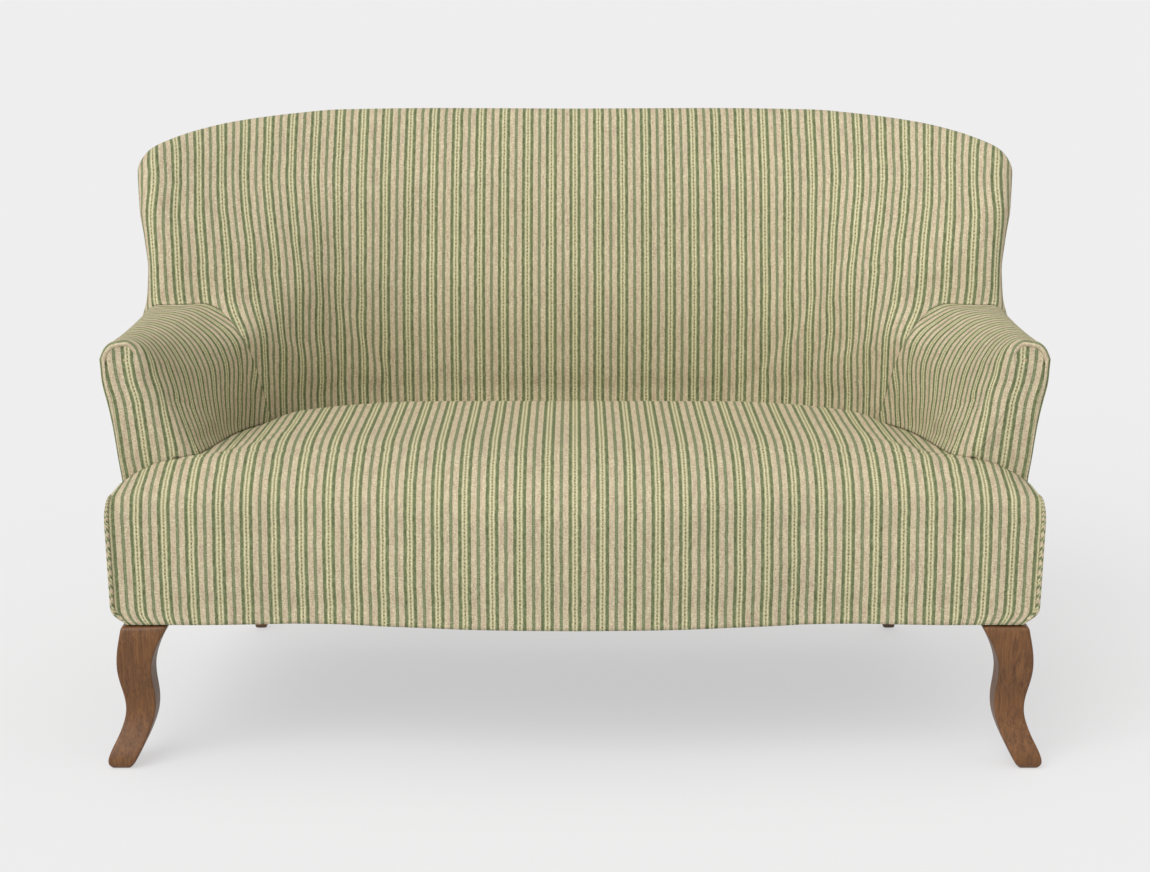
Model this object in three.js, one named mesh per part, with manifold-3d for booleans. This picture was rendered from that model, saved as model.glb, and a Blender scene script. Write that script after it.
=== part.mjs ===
// A two-seat high back settee with a fixed seat, curved wings and low arms on a hardwood frame.
// Millimetres, +Z up, the front faces -Y. The origin is on the floor under the middle of the object.
// "Depth" is measured backwards from the plane in which the ears of the seat begin.

import * as THREE from 'three';
import { mergeVertices } from 'three/addons/utils/BufferGeometryUtils.js';
import Module from 'manifold-3d';

const wasm = await Module();
wasm.setup();

// Main heights
const SEAT_BOTTOM = 231;
const SEAT_HEIGHT = 495;
const ARM_RISE = 172;
const ARM_HEIGHT = SEAT_HEIGHT + ARM_RISE;
const BACK_RISE = 319;
const BACK_HEIGHT = ARM_HEIGHT + BACK_RISE;

// Main widths, each from the middle of the settee
const WING_HALF_WIDTH = 758;
const EAR_INSET = 31;
const EAR_HALF_WIDTH = WING_HALF_WIDTH - EAR_INSET;

// Inside of the back and wings
const SEAT_DEPTH = 607;
const BACK_LEAN = 155;
const WING_REACH = 340;
const WING_ROLL_RADIUS = 30;
const TOP_ROLL_RADIUS = 54;
const CREVICE_DROP = 27;

// Outside of the back and arms
const BACK_FOOT_THICKNESS = 98;
const OUTSIDE_FOOT_DEPTH = SEAT_DEPTH + BACK_FOOT_THICKNESS;
const ARM_SETBACK = 118;
const ARM_INNER_RADIUS = 40;
const ARM_OUTER_RADIUS = 10;
const ARM_FOOT_INSET = 21;
const ARM_FOOT_HALF_WIDTH = EAR_HALF_WIDTH - ARM_FOOT_INSET;

// Seat front
const FRONT_BOW = 14;
const SERPENTINE_DEPTH = 41;
const CREST_RISE = 100;
const CREST_DEPTH = 215;
const FACE_SWELL = 9;
const EAR_FALL_WIDTH = 110;
const EAR_TUCK = 18;
const EAR_TUCK_HEIGHT = 22;

// Cloth, padding and piping
const CLOTH = 2.5;
const CLEARANCE = 0.3;
const SEAM_GAP = 1.2;
const SEAT_PAD_THICKNESS = 45;
const FRONT_PAD_THICKNESS = 27;
const ARM_PAD_THICKNESS = 30;
const BACK_PAD_THICKNESS = 36;
const PIPING_RADIUS = 3.5;
const PIPING_START = 18;
const PIPING_HEIGHT = SEAT_HEIGHT - CREST_RISE - SEAT_BOTTOM - PIPING_START;
const HESSIAN_THICKNESS = 1.6;
const DUST_COVER_THICKNESS = 2;
const WEB_WIDTH = 50;
const WEB_THICKNESS = 2;

// Seat frame
const SPRING_SPACE = 105;
const RAIL_HEIGHT = SEAT_HEIGHT - SPRING_SPACE - SEAT_BOTTOM;
const RAIL_THICKNESS = 30;
const SIDE_RAIL_INSET = 26;
const SIDE_RAIL_HALF_WIDTH = ARM_FOOT_HALF_WIDTH - SIDE_RAIL_INSET;
const SIDE_RAIL_HEIGHT = 100;
const REAR_RAIL_COVER = 21;
const REAR_RAIL_DEPTH = OUTSIDE_FOOT_DEPTH - REAR_RAIL_COVER;
const REAR_RAIL_INSET = 40;
const REAR_RAIL_HALF_WIDTH = SIDE_RAIL_HALF_WIDTH - REAR_RAIL_INSET;
const FRONT_RAIL_HALF_WIDTH = EAR_HALF_WIDTH - FRONT_PAD_THICKNESS;
const STRETCHER_WIDTH = 40;
const STRETCHER_HEIGHT = 50;
const BLOCK_LEG = 60;
const BLOCK_HEIGHT = 70;

// Arm and back frame
const ARM_BOARD_THICKNESS = 25;
const ARM_RAIL_WIDTH = 32;
const ARM_RAIL_HEIGHT = 26;
const ARM_RAIL_INSET = 28;
const ARM_RAIL_HALF_WIDTH = WING_HALF_WIDTH - ARM_RAIL_INSET;
const ARM_RAIL_DROP = 51;
const LOWER_ARM_RAIL_DROP = 64;
const LOWER_ARM_RAIL_RISE = SEAT_HEIGHT - LOWER_ARM_RAIL_DROP - SEAT_BOTTOM - SIDE_RAIL_HEIGHT;
const WING_POST_THICKNESS = 24;
const WING_POST_DEPTH = 50;
const WING_POST_LEAD = 154;
const WING_POST_LEAN = 157;
const WING_POST_FOOT_DEPTH = SEAT_DEPTH - WING_POST_LEAD;
const WING_POST_HEAD_DEPTH = WING_POST_FOOT_DEPTH + WING_POST_LEAN;
const WING_POST_INSET = 61;
const WING_POST_HEAD_HALF_WIDTH = WING_HALF_WIDTH - WING_POST_INSET;
const WING_POST_DROP = 141;
const WING_POST_TOP = BACK_HEIGHT - WING_POST_DROP;
const BACK_POST_WIDTH = 36;
const BACK_POST_DEPTH = 34;
const BACK_POST_FOOT_DEPTH = REAR_RAIL_DEPTH - RAIL_THICKNESS / 2;
const BACK_POST_INSET = 198;
const BACK_POST_HALF_WIDTH = WING_HALF_WIDTH - BACK_POST_INSET;
const CENTRE_POST_WIDTH = 40;
const TOP_RAIL_DROP = 110;
const TOP_RAIL_TOP = BACK_HEIGHT - TOP_RAIL_DROP;
const TOP_RAIL_HEIGHT = 40;
const TOP_RAIL_THICKNESS = 32;
const TOP_RAIL_LEAD = 1;
const TOP_RAIL_DEPTH = SEAT_DEPTH + BACK_LEAN - TOP_RAIL_LEAD;
const TOP_RAIL_BOW = 30;
const BACK_POST_HEAD_DEPTH = TOP_RAIL_DEPTH - TOP_RAIL_BOW;
const LOWER_BACK_RAIL_DROP = 40;
const LOWER_BACK_RAIL_TOP = SEAT_HEIGHT - LOWER_BACK_RAIL_DROP;
const LOWER_BACK_RAIL_HEIGHT = 36;

// Springs
const SPRING_COUNT = 7;
const SPRING_SPACING = 125;
const SPRING_WIRE_RADIUS = 2;
const SPRING_SWING = 24;
const SPRING_ARCH = 52.5;
const SPRING_BENDS = 13;

// Legs
const FRONT_LEG_INSET = 52;
const FRONT_LEG_HALF_SPREAD = EAR_HALF_WIDTH - FRONT_LEG_INSET;
const REAR_LEG_INSET = 40;
const REAR_LEG_HALF_SPREAD = REAR_RAIL_HALF_WIDTH - REAR_LEG_INSET;
const REAR_LEG_DEPTH = REAR_RAIL_DEPTH - RAIL_THICKNESS / 2;
const REAR_LEG_RAKE = 100;
const REAR_LEG_WIDTH = 44;
const REAR_FOOT_WIDTH = 32;
const LEG_SIZE = 50;
const LEG_BOLT_RADIUS = 4;
const LEG_BOLT_RISE = 60;
const LEG_BOLT_SINK = 50;

// Small steps for slopes and for joining points that coincide
const PROBE = 1;
const WELD = 0.002;

// Inside surface: heights as shares of the rise from seat to arm, then from arm to top
const LOWER_LEVEL_SHARES = [-0.087, 0.669];
const UPPER_LEVEL_SHARES = [0.056, 0.29, 0.527, 0.668, 0.777, 0.887, 1.012];
const LEAN_SHARES = [0, 0, 0.065, 0.226, 0.394, 0.548, 0.69, 0.832, 1];
const STATION_SHARES = [0, 0.354, 0.442, 0.541, 0.629, 0.747, 0.865, 0.983];
const REACH_SHARES = [
  [0, 0, 0.053, 0.168, 0.33, 0.662, 0.853, 1],
  [0, 0, 0.053, 0.168, 0.344, 0.653, 0.824, 0.97],
  [0, 0, 0.05, 0.162, 0.344, 0.482, 0.518, 0.541],
  [0, 0, 0.05, 0.135, 0.285, 0.429, 0.524, 0.579],
  [0, 0, 0.038, 0.097, 0.182, 0.312, 0.465, 0.612],
  [0, 0, 0.018, 0.05, 0.094, 0.188, 0.347, 0.559],
  [0, 0, 0.015, 0.035, 0.076, 0.15, 0.288, 0.456],
  [0, 0, 0.015, 0.041, 0.079, 0.141, 0.247, 0.412],
  [0, 0, 0.012, 0.035, 0.065, 0.118, 0.206, 0.324],
];

// Middle of the roll round wing and top: shares of the half width, of the rise over the arm
// and of the growth from the wing roll to the top roll
const RIM_ACROSS_SHARES = [0.942, 0.93, 0.925, 0.931, 0.943, 0.955, 0.96, 0.9525, 0.925, 0.872, 0.792, 0.641, 0.567, 0.29, 0];
const RIM_RISE_SHARES = [-0.085, 0.034, 0.191, 0.351, 0.511, 0.636, 0.705, 0.734, 0.759, 0.787, 0.809, 0.828, 0.83, 0.831, 0.831];
const RIM_GROWTH_SHARES = [0, 0, 0, 0, 0, 0, 0, 0.02, 0.12, 0.33, 0.58, 0.83, 0.93, 1, 1];
const RIM_CORNER_INDEX = 6;
const RIM_FRONT_INDEX = 1;

// Arm outlines: shares of the wing's half width and of the rise from seat to arm
const ARM_FRONT_ACROSS_SHARES = [0.786, 0.8206, 0.847, 0.864, 0.876, 0.897, 0.93, 0.9604, 0.98, 0.988];
const ARM_FRONT_RISE_SHARES = [-0.04, 0.2035, 0.424, 0.64, 0.82, 0.942, 1, 0.977, 0.901, 0.808];
const ARM_BACK_ACROSS_SHARES = [0.654, 0.683, 0.712, 0.743, 0.778, 0.834];
const ARM_BACK_RISE_SHARES = [-0.145, 0.174, 0.436, 0.698, 0.872, 1];
const ARM_ROUND_SHARES = [1, 1, 1, 0.95, 0.7, 0.3, 0, 0, 0, 0];
const ARM_START_SLOPE_SHARES = [-0.25, -0.27, -0.3, -0.3, -0.25, -0.12, 0, 0, 0, 0];
const ARM_END_SLOPE_SHARES = [-0.7, -0.66, -0.6, -0.55, -0.5, -0.35, -0.1, 0, 0, 0];
const ARM_APEX_INDEX = 6;
const ARM_NUB_INDEX = 9;

// Outside: the side's half width as a share of the wing's, and how square the plan is
const SIDE_LEVEL_SHARES = [0, 0.5, 0.8, 1];
const SIDE_WIDTH_SHARES = [0.9235, 0.943, 0.962, 0.9815];
const SQUARENESS_SHARES = [10, 4.5, 2.4, 2.3];
const BACK_PANEL_SHARE = 0.83;
const OUTSIDE_RAKE_SHARE = 0.2;
const EDGE_ROLL_SHARE = 0.79;
const EDGE_ROLL_SHIFT_SHARE = 0.07;

// Seat front: the bow along the width, as shares of the ear's half width and of its depth
const BOW_PLACE_SHARES = [0, 0.118, 0.226, 0.279, 0.333, 0.387, 0.442, 0.497, 0.605, 0.711, 0.818, 0.913, 1];
const BOW_SHARES = [0, 0.05, 0.17, 0.29, 0.44, 0.56, 0.71, 0.9, 1, 0.88, 0.8, 0.83, 0.83];

// Front leg: heights as shares of the seat's bottom, then outer, inner, front and back edges as shares
// of the leg's size, from its middle line
const LEG_LEVEL_SHARES = [0, 0.03, 0.07, 0.14, 0.21, 0.3, 0.38, 0.48, 0.6, 0.7, 0.8, 0.89, 0.965, 1];
const LEG_OUTER_SHARES = [1.14, 1.28, 1.28, 1.12, 0.92, 0.76, 0.67, 0.72, 0.86, 0.91, 0.88, 0.81, 0.74, 0.72];
const LEG_INNER_SHARES = [0.54, 0.4, 0.3, 0.14, -0.02, -0.18, -0.26, -0.28, -0.2, -0.18, -0.3, -0.48, -0.7, -0.78];
const LEG_FRONT_SHARES = [-0.84, -0.94, -0.96, -0.84, -0.7, -0.54, -0.44, -0.4, -0.54, -0.62, -0.66, -0.64, -0.58, -0.54];
const LEG_BACK_SHARES = [-0.1, -0.02, 0.06, 0.22, 0.34, 0.46, 0.5, 0.46, 0.4, 0.42, 0.48, 0.6, 0.74, 0.8];
const LEG_CORNER_SHARE = 0.2;
const LEG_CENTRE_DEPTH = 46;

// Colours
const STRIPED_CLOTH = 0xb1ac89;
const PLAIN_CLOTH = 0xb9a383;
const WADDING = 0xe6e1d3;
const HESSIAN_COLOUR = 0xa08a5e;
const WEB_COLOUR = 0x8c7a55;
const BLACK_CLOTH = 0x2b2b2b;
const BEECH = 0xc9a577;
const STAINED_WOOD = 0x6c4d31;
const STEEL = 0x8d9096;

const clamp = (value, low, high) => Math.min(Math.max(value, low), high);
const mix = (from, to, share) => from + (to - from) * share;
const ease = (share) => {
  const part = clamp(share, 0, 1);
  return part * part * (3 - 2 * part);
};
const point = (x, depth, z) => new THREE.Vector3(x, depth, z);

// A smooth curve through places and values that never overshoots them
function curve(places, values) {
  const last = places.length - 1;
  const steps = values.slice(1).map((value, i) => (value - values[i]) / (places[i + 1] - places[i]));
  const slopes = values.map((value, i) => {
    if (i === 0) return steps[0];
    if (i === last) return steps[last - 1];
    const product = steps[i - 1] * steps[i];
    return product <= 0 ? 0 : (2 * product) / (steps[i - 1] + steps[i]);
  });
  return (place) => {
    if (place <= places[0]) return values[0];
    if (place >= places[last]) return values[last] + slopes[last] * (place - places[last]);
    let i = 0;
    while (place > places[i + 1]) i += 1;
    const width = places[i + 1] - places[i];
    const s = (place - places[i]) / width;
    const rise = values[i] * (1 + 2 * s) * (1 - s) ** 2 + values[i + 1] * (3 - 2 * s) * s * s;
    return rise + width * (slopes[i] * s * (1 - s) ** 2 + slopes[i + 1] * (s - 1) * s * s);
  };
}

const overIndex = (values) => curve(values.map((value, i) => i), values);

// A sheet is a set of points and faces that the shells are made from
class Sheet {
  constructor() {
    this.points = [];
    this.backs = [];
    this.faces = [];
  }

  // Adds rows of points; backs holds the hidden side of each point where it isn't along the normal
  grid(rows, backs = null) {
    const start = this.points.length;
    const width = rows[0].length;
    rows.forEach((row, i) => row.forEach((place, j) => {
      this.points.push(place);
      this.backs.push(backs ? backs[i][j] : null);
    }));
    for (let i = 0; i + 1 < rows.length; i += 1) {
      for (let j = 0; j + 1 < width; j += 1) {
        const a = start + i * width + j;
        this.faces.push([a, a + 1, a + width + 1, a + width]);
      }
    }
    return this;
  }

  // Adds the same points on the other side of the middle
  mirrored() {
    const start = this.points.length;
    const flip = (place) => (place ? point(-place.x, place.y, place.z) : null);
    this.points.push(...this.points.map(flip));
    this.backs.push(...this.backs.map(flip));
    this.faces.push(...this.faces.map(([first, ...rest]) => [first, ...rest.reverse()].map((k) => k + start)));
    return this;
  }

  // Joins points that coincide and drops faces that have closed up
  welded() {
    const index = new Map();
    const result = new Sheet();
    const moved = this.points.map((place, k) => {
      const key = place.toArray().map((value) => Math.round(value / WELD)).join();
      if (!index.has(key)) {
        index.set(key, result.points.length);
        result.points.push(place);
        result.backs.push(this.backs[k]);
      }
      return index.get(key);
    });
    this.faces.forEach((face) => {
      const corners = face.map((k) => moved[k]).filter((k, i, all) => k !== all[(i + 1) % all.length]);
      if (new Set(corners).size === corners.length && corners.length > 2) result.faces.push(corners);
    });
    return result;
  }

  normals() {
    const sums = this.points.map(() => new THREE.Vector3());
    this.faces.forEach((face) => {
      for (let i = 1; i + 1 < face.length; i += 1) {
        const [a, b, c] = [face[0], face[i], face[i + 1]].map((k) => this.points[k]);
        const area = b.clone().sub(a).cross(c.clone().sub(a));
        face.forEach((k) => sums[k].add(area));
      }
    });
    return sums.map((sum) => sum.normalize());
  }
}

function geometryOf(points, triangles) {
  const geometry = new THREE.BufferGeometry();
  const places = new Float32Array(points.flatMap((place) => place.toArray()));
  geometry.setAttribute('position', new THREE.BufferAttribute(places, 3));
  geometry.setIndex(triangles);
  return geometry;
}

// A closed solid that lies between two depths under the sheet and reaches past its rim
function shell(sheet, near, far, past = 0) {
  const joined = sheet.welded();
  const normals = joined.normals();
  const count = joined.points.length;
  const outer = joined.points.map((place, k) => place.clone().addScaledVector(normals[k], -near));
  const inner = joined.points.map((place, k) => (
    joined.backs[k] ? joined.backs[k].clone() : place.clone().addScaledVector(normals[k], -far)));
  const triangles = [];
  const edges = new Map();
  joined.faces.forEach((face) => {
    for (let i = 1; i + 1 < face.length; i += 1) {
      triangles.push(face[0], face[i], face[i + 1]);
      triangles.push(count + face[0], count + face[i + 1], count + face[i]);
    }
    face.forEach((from, i) => {
      const to = face[(i + 1) % face.length];
      if (!edges.delete(`${to},${from}`)) edges.set(`${from},${to}`, [from, to]);
    });
  });
  const ways = joined.points.map(() => new THREE.Vector3());
  edges.forEach(([from, to]) => {
    triangles.push(to, from, count + from);
    triangles.push(to, count + from, count + to);
    const along = joined.points[to].clone().sub(joined.points[from]).normalize();
    [from, to].forEach((k) => ways[k].add(along.clone().cross(normals[k])));
  });
  ways.forEach((way, k) => [outer, inner].forEach((side) => side[k].addScaledVector(way.normalize(), past)));
  return geometryOf([...outer, ...inner], triangles);
}

// Boolean work
function solidOf(geometry) {
  const bare = geometry.clone();
  bare.deleteAttribute('normal');
  bare.deleteAttribute('uv');
  const merged = mergeVertices(bare, WELD);
  return new wasm.Manifold(new wasm.Mesh({
    numProp: 3,
    vertProperties: new Float32Array(merged.attributes.position.array),
    triVerts: new Uint32Array(merged.index.array),
  }));
}

function cut(geometry, ...tools) {
  let solid = solidOf(geometry);
  tools.forEach((tool) => {
    solid = solid.subtract(solidOf(tool));
  });
  const mesh = solid.getMesh();
  const cutGeometry = new THREE.BufferGeometry();
  cutGeometry.setAttribute('position', new THREE.BufferAttribute(new Float32Array(mesh.vertProperties), 3));
  cutGeometry.setIndex([...mesh.triVerts]);
  return cutGeometry;
}

// Plain shapes between two corners, given as across, depth and height
function block(low, high) {
  const size = high.clone().sub(low);
  const geometry = new THREE.BoxGeometry(size.x, size.y, size.z);
  const middle = low.clone().add(high).multiplyScalar(0.5);
  return geometry.translate(middle.x, middle.y, middle.z);
}

function upright(x, depth, bottom, top, radius, sides = 12) {
  const geometry = new THREE.CylinderGeometry(radius, radius, top - bottom, sides);
  return geometry.rotateX(Math.PI / 2).translate(x, depth, (bottom + top) / 2);
}

// A plate whose plan is given by (across, depth) points
function slab(outline, bottom, top) {
  const shape = new THREE.Shape(outline.map(([x, depth]) => new THREE.Vector2(x, depth)));
  const geometry = new THREE.ExtrudeGeometry(shape, { depth: top - bottom, bevelEnabled: false });
  return geometry.translate(0, 0, bottom);
}

// A body through rings of points, closed at both ends
function loft(rings) {
  const sides = rings[0].length;
  const points = rings.flat();
  const triangles = [];
  for (let i = 0; i + 1 < rings.length; i += 1) {
    for (let j = 0; j < sides; j += 1) {
      const a = i * sides + j;
      const b = i * sides + ((j + 1) % sides);
      triangles.push(a, b, b + sides, a, b + sides, a + sides);
    }
  }
  const top = (rings.length - 1) * sides;
  for (let j = 1; j + 1 < sides; j += 1) {
    triangles.push(0, j + 1, j, top, top + j, top + j + 1);
  }
  return geometryOf(points, triangles);
}

// A four-sided beam between two sections, each given by its middle and its two widths
function beam(from, to, width, depth) {
  const ring = (middle) => [[-1, -1], [1, -1], [1, 1], [-1, 1]].map(([a, b]) => (
    point(middle.x + (a * width) / 2, middle.y + (b * depth) / 2, middle.z)));
  return loft([ring(from), ring(to)]);
}

// A copy on the other side of the middle, with its faces still outwards
function opposite(geometry) {
  const copy = geometry.index ? geometry.clone() : mergeVertices(geometry.clone());
  copy.scale(-1, 1, 1);
  const order = copy.index.array;
  for (let k = 0; k < order.length; k += 3) {
    [order[k + 1], order[k + 2]] = [order[k + 2], order[k + 1]];
  }
  return copy;
}

// The inside of back and wings, as depth over the front view

const levels = [
  ...LOWER_LEVEL_SHARES.map((share) => mix(SEAT_HEIGHT, ARM_HEIGHT, share)),
  ...UPPER_LEVEL_SHARES.map((share) => mix(ARM_HEIGHT, BACK_HEIGHT, share)),
];
const leanAt = curve(levels, LEAN_SHARES);
const reachRows = REACH_SHARES.map((row) => curve(STATION_SHARES, row));

function insideDepth(x, z) {
  const across = Math.abs(x) / WING_HALF_WIDTH;
  const reach = curve(levels, reachRows.map((row) => row(across)))(z);
  return SEAT_DEPTH + BACK_LEAN * leanAt(z) - WING_REACH * reach;
}

function insideNormal(x, z) {
  const acrossSlope = (insideDepth(x + PROBE, z) - insideDepth(x - PROBE, z)) / (2 * PROBE);
  const riseSlope = (insideDepth(x, z + PROBE) - insideDepth(x, z - PROBE)) / (2 * PROBE);
  return new THREE.Vector3(acrossSlope, -1, riseSlope).normalize();
}

// The roll that edges wings and top, on the right side from the arm to the middle

const rimGrowth = TOP_ROLL_RADIUS - WING_ROLL_RADIUS;
const rimAcross = RIM_ACROSS_SHARES.map((share) => share * WING_HALF_WIDTH);
const rimRise = RIM_RISE_SHARES.map((share) => mix(ARM_HEIGHT, BACK_HEIGHT, share));
const rimRadius = RIM_GROWTH_SHARES.map((share) => WING_ROLL_RADIUS + rimGrowth * share);
const rimPlaces = rimAcross.reduce((places, x, i) => {
  const step = i ? Math.hypot(x - rimAcross[i - 1], rimRise[i] - rimRise[i - 1]) : 0;
  return [...places, (places[i - 1] ?? 0) + step];
}, []);
const rimEnd = rimPlaces[rimPlaces.length - 1];
const rimX = curve(rimPlaces, rimAcross);
const rimZ = curve(rimPlaces, rimRise);
const rimR = curve(rimPlaces, rimRadius);
const rimCornerPlace = rimPlaces[RIM_CORNER_INDEX];
const rimFrontStart = rimPlaces[RIM_FRONT_INDEX];

function rimCentre(place) {
  const x = rimX(place);
  const z = rimZ(place);
  const radius = rimR(place);
  let normal = insideNormal(x, z);
  for (let i = 0; i < 5; i += 1) {
    normal = insideNormal(x + normal.x * radius, z + normal.z * radius);
  }
  const front = insideDepth(x + normal.x * radius, z + normal.z * radius);
  return { middle: point(x, front - normal.y * radius, z), normal, radius };
}

function rimFrame(place) {
  const { middle, normal, radius } = rimCentre(place);
  const ahead = rimCentre(Math.min(place + PROBE, rimEnd)).middle;
  const behind = rimCentre(Math.max(place - PROBE, 0)).middle;
  const along = place > rimEnd - PROBE ? point(-1, 0, 0) : ahead.sub(behind).normalize();
  const front = normal.clone().addScaledVector(along, -normal.dot(along)).normalize();
  const out = along.clone().cross(front);
  const steep = along.z ** 2;
  const plan = new THREE.Vector3(along.y, -along.x, 0).normalize();
  const lean = point(0, 0, -(1 - steep) * OUTSIDE_RAKE_SHARE);
  const end = plan.multiplyScalar(1 - steep).add(point(steep, 0, 0)).add(lean);
  const turn = Math.atan2(end.dot(out), end.dot(front));
  return { middle, front, out, radius, turn };
}

// A point on the roll: place runs along it, part from 0 at the front to 1 at the outside
function rollPoint(place, part, frame = rimFrame(place)) {
  const angle = frame.turn * part;
  const radius = frame.radius;
  return frame.middle.clone()
    .addScaledVector(frame.front, radius * Math.cos(angle))
    .addScaledVector(frame.out, radius * Math.sin(angle));
}

// Over the arm the roll starts lower on its outside than on its front
const rollStart = (part) => mix(rimFrontStart, 0, part ** 1.8);

// Back cover

const CREVICE_COLUMNS = 8;
const BACK_COLUMNS = CREVICE_COLUMNS + ARM_APEX_INDEX;
const BACK_ROWS = 8;
const ROLL_STEPS = 4;

const creviceHeight = SEAT_HEIGHT - CREVICE_DROP;
const armBackX = overIndex([...ARM_BACK_ACROSS_SHARES.map((share) => share * WING_HALF_WIDTH), rollPoint(rimFrontStart, 0).x]);
const armBackZ = overIndex([...ARM_BACK_RISE_SHARES.map((share) => mix(SEAT_HEIGHT, ARM_HEIGHT, share)), rollPoint(rimFrontStart, 0).z]);

// The lower edge of the back cover, from the middle along the seat and then up along the arm
function backFoot(share) {
  const turnShare = CREVICE_COLUMNS / BACK_COLUMNS;
  if (share <= turnShare) {
    const part = share / turnShare;
    return [armBackX(0) * part, mix(creviceHeight, armBackZ(0), ease(part))];
  }
  const index = ((share - turnShare) / (1 - turnShare)) * ARM_APEX_INDEX;
  return [armBackX(index), armBackZ(index)];
}

function flatOf(place) {
  const front = rollPoint(place, 0);
  return [front.x, front.z];
}

// The front view place of a point on the inside, by its shares across and up
function insidePlace(across, up) {
  const foot = backFoot(across);
  const head = flatOf(mix(rimEnd, rimCornerPlace, across));
  const middle = [0, mix(creviceHeight, flatOf(rimEnd)[1], up)];
  const side = flatOf(mix(rimFrontStart, rimCornerPlace, up));
  const corners = [[0, creviceHeight], backFoot(1), [0, flatOf(rimEnd)[1]], flatOf(rimCornerPlace)];
  return [0, 1].map((k) => (1 - up) * foot[k] + up * head[k] + (1 - across) * middle[k] + across * side[k]
    - (1 - across) * (1 - up) * corners[0][k] - across * (1 - up) * corners[1][k]
    - (1 - across) * up * corners[2][k] - across * up * corners[3][k]);
}

function insidePoint(across, up) {
  if (across === 1) return rollPoint(mix(rimFrontStart, rimCornerPlace, up), 0);
  if (up === 1) return rollPoint(mix(rimEnd, rimCornerPlace, across), 0);
  const [x, z] = insidePlace(across, up);
  return point(x, insideDepth(x, z), z);
}

const shares = (count) => Array.from({ length: count + 1 }, (none, i) => i / count);

function insideRows(columns, rows, depthBehind = null) {
  const grid = shares(rows).map((up) => shares(columns).map((across) => insidePoint(across, up)));
  const backs = depthBehind && grid.map((row) => row.map((place) => place.clone().add(point(0, depthBehind, 0))));
  return [grid, backs];
}

function rollRows(startPlace, endPlace, count, sheared) {
  return shares(count).map((share) => shares(ROLL_STEPS).map((part) => {
    const start = sheared ? rollStart(part) : startPlace;
    return rollPoint(mix(start, endPlace, share), part);
  }));
}

function backSheet() {
  const sheet = new Sheet();
  sheet.grid(insideRows(BACK_COLUMNS, BACK_ROWS)[0]);
  sheet.grid(rollRows(rimFrontStart, rimCornerPlace, BACK_ROWS, true));
  sheet.grid(rollRows(rimCornerPlace, rimEnd, BACK_COLUMNS, false));
  return sheet.mirrored();
}

const coverOf = (sheet) => shell(sheet, 0, CLOTH);
const roomOf = (sheet) => shell(sheet, -CLEARANCE, CLOTH + CLEARANCE, CLEARANCE);

function backPad() {
  const [grid, backs] = insideRows(BACK_COLUMNS, BACK_ROWS, BACK_PAD_THICKNESS);
  const pad = shell(new Sheet().grid(grid, backs).mirrored(), CLOTH + CLEARANCE, BACK_PAD_THICKNESS);
  return cut(pad, edgeRoll(2 * CLEARANCE), roomOf(backSheet()), roomOf(armSheet()), opposite(roomOf(armSheet())));
}

// The stuffed roll inside the edge of wings and top lies against the front of the cover's roll
function edgeRoll(growth) {
  const ring = (frame, flip) => shares(8).slice(0, 8).map((turn) => {
    const angle = -turn * 2 * Math.PI;
    const radius = frame.radius * EDGE_ROLL_SHARE - CLOTH + growth;
    const shift = frame.radius * EDGE_ROLL_SHIFT_SHARE;
    const place = frame.middle.clone()
      .addScaledVector(frame.front, shift + radius * Math.cos(angle))
      .addScaledVector(frame.out, shift + radius * Math.sin(angle));
    return flip ? point(-place.x, place.y, place.z) : place;
  });
  const places = [
    ...shares(BACK_ROWS).slice(1, -1).map((share) => mix(rimFrontStart, rimCornerPlace, share)),
    ...shares(BACK_COLUMNS).map((share) => mix(rimCornerPlace, rimEnd, share)),
  ];
  const frames = places.map((place) => rimFrame(place));
  const left = frames.map((frame) => ring(frame, true));
  const right = frames.slice(0, -1).reverse().map((frame) => ring(frame, false));
  return loft([...left, ...right]);
}

// Arms, on the right side: index runs over the section from the seat over the arm to its outer nub

const ARM_ROWS = 7;
const ROUND_ROWS = 3;
const FACING_COLUMNS = 3;
const FACING_LOWER_ROWS = 4;

const armFrontX = overIndex(ARM_FRONT_ACROSS_SHARES.map((share) => share * WING_HALF_WIDTH));
const armFrontZ = overIndex(ARM_FRONT_RISE_SHARES.map((share) => mix(SEAT_HEIGHT, ARM_HEIGHT, share)));
const armRound = overIndex(ARM_ROUND_SHARES.map((share) => mix(ARM_OUTER_RADIUS, ARM_INNER_RADIUS, share)));
const armStartSlope = overIndex(ARM_START_SLOPE_SHARES);
const armEndSlope = overIndex(ARM_END_SLOPE_SHARES);

// Towards the middle of the section, square to its outline
function armInward(index) {
  const small = 0.01;
  const low = Math.max(index - small, 0);
  const high = Math.min(index + small, ARM_NUB_INDEX);
  const across = armFrontX(high) - armFrontX(low);
  const rise = armFrontZ(high) - armFrontZ(low);
  const square = new THREE.Vector3(rise, 0, -across).normalize();
  return new THREE.Vector3(1, 0, 0).lerp(square, ease(index)).normalize();
}

function armBack(index) {
  if (index > ARM_APEX_INDEX) {
    const part = (index - ARM_APEX_INDEX) / (ARM_NUB_INDEX - ARM_APEX_INDEX);
    return rollPoint(rollStart(part), part);
  }
  if (index === ARM_APEX_INDEX) return rollPoint(rimFrontStart, 0);
  const [x, z] = [armBackX(index), armBackZ(index)];
  return point(x, insideDepth(x, z), z);
}

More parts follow.
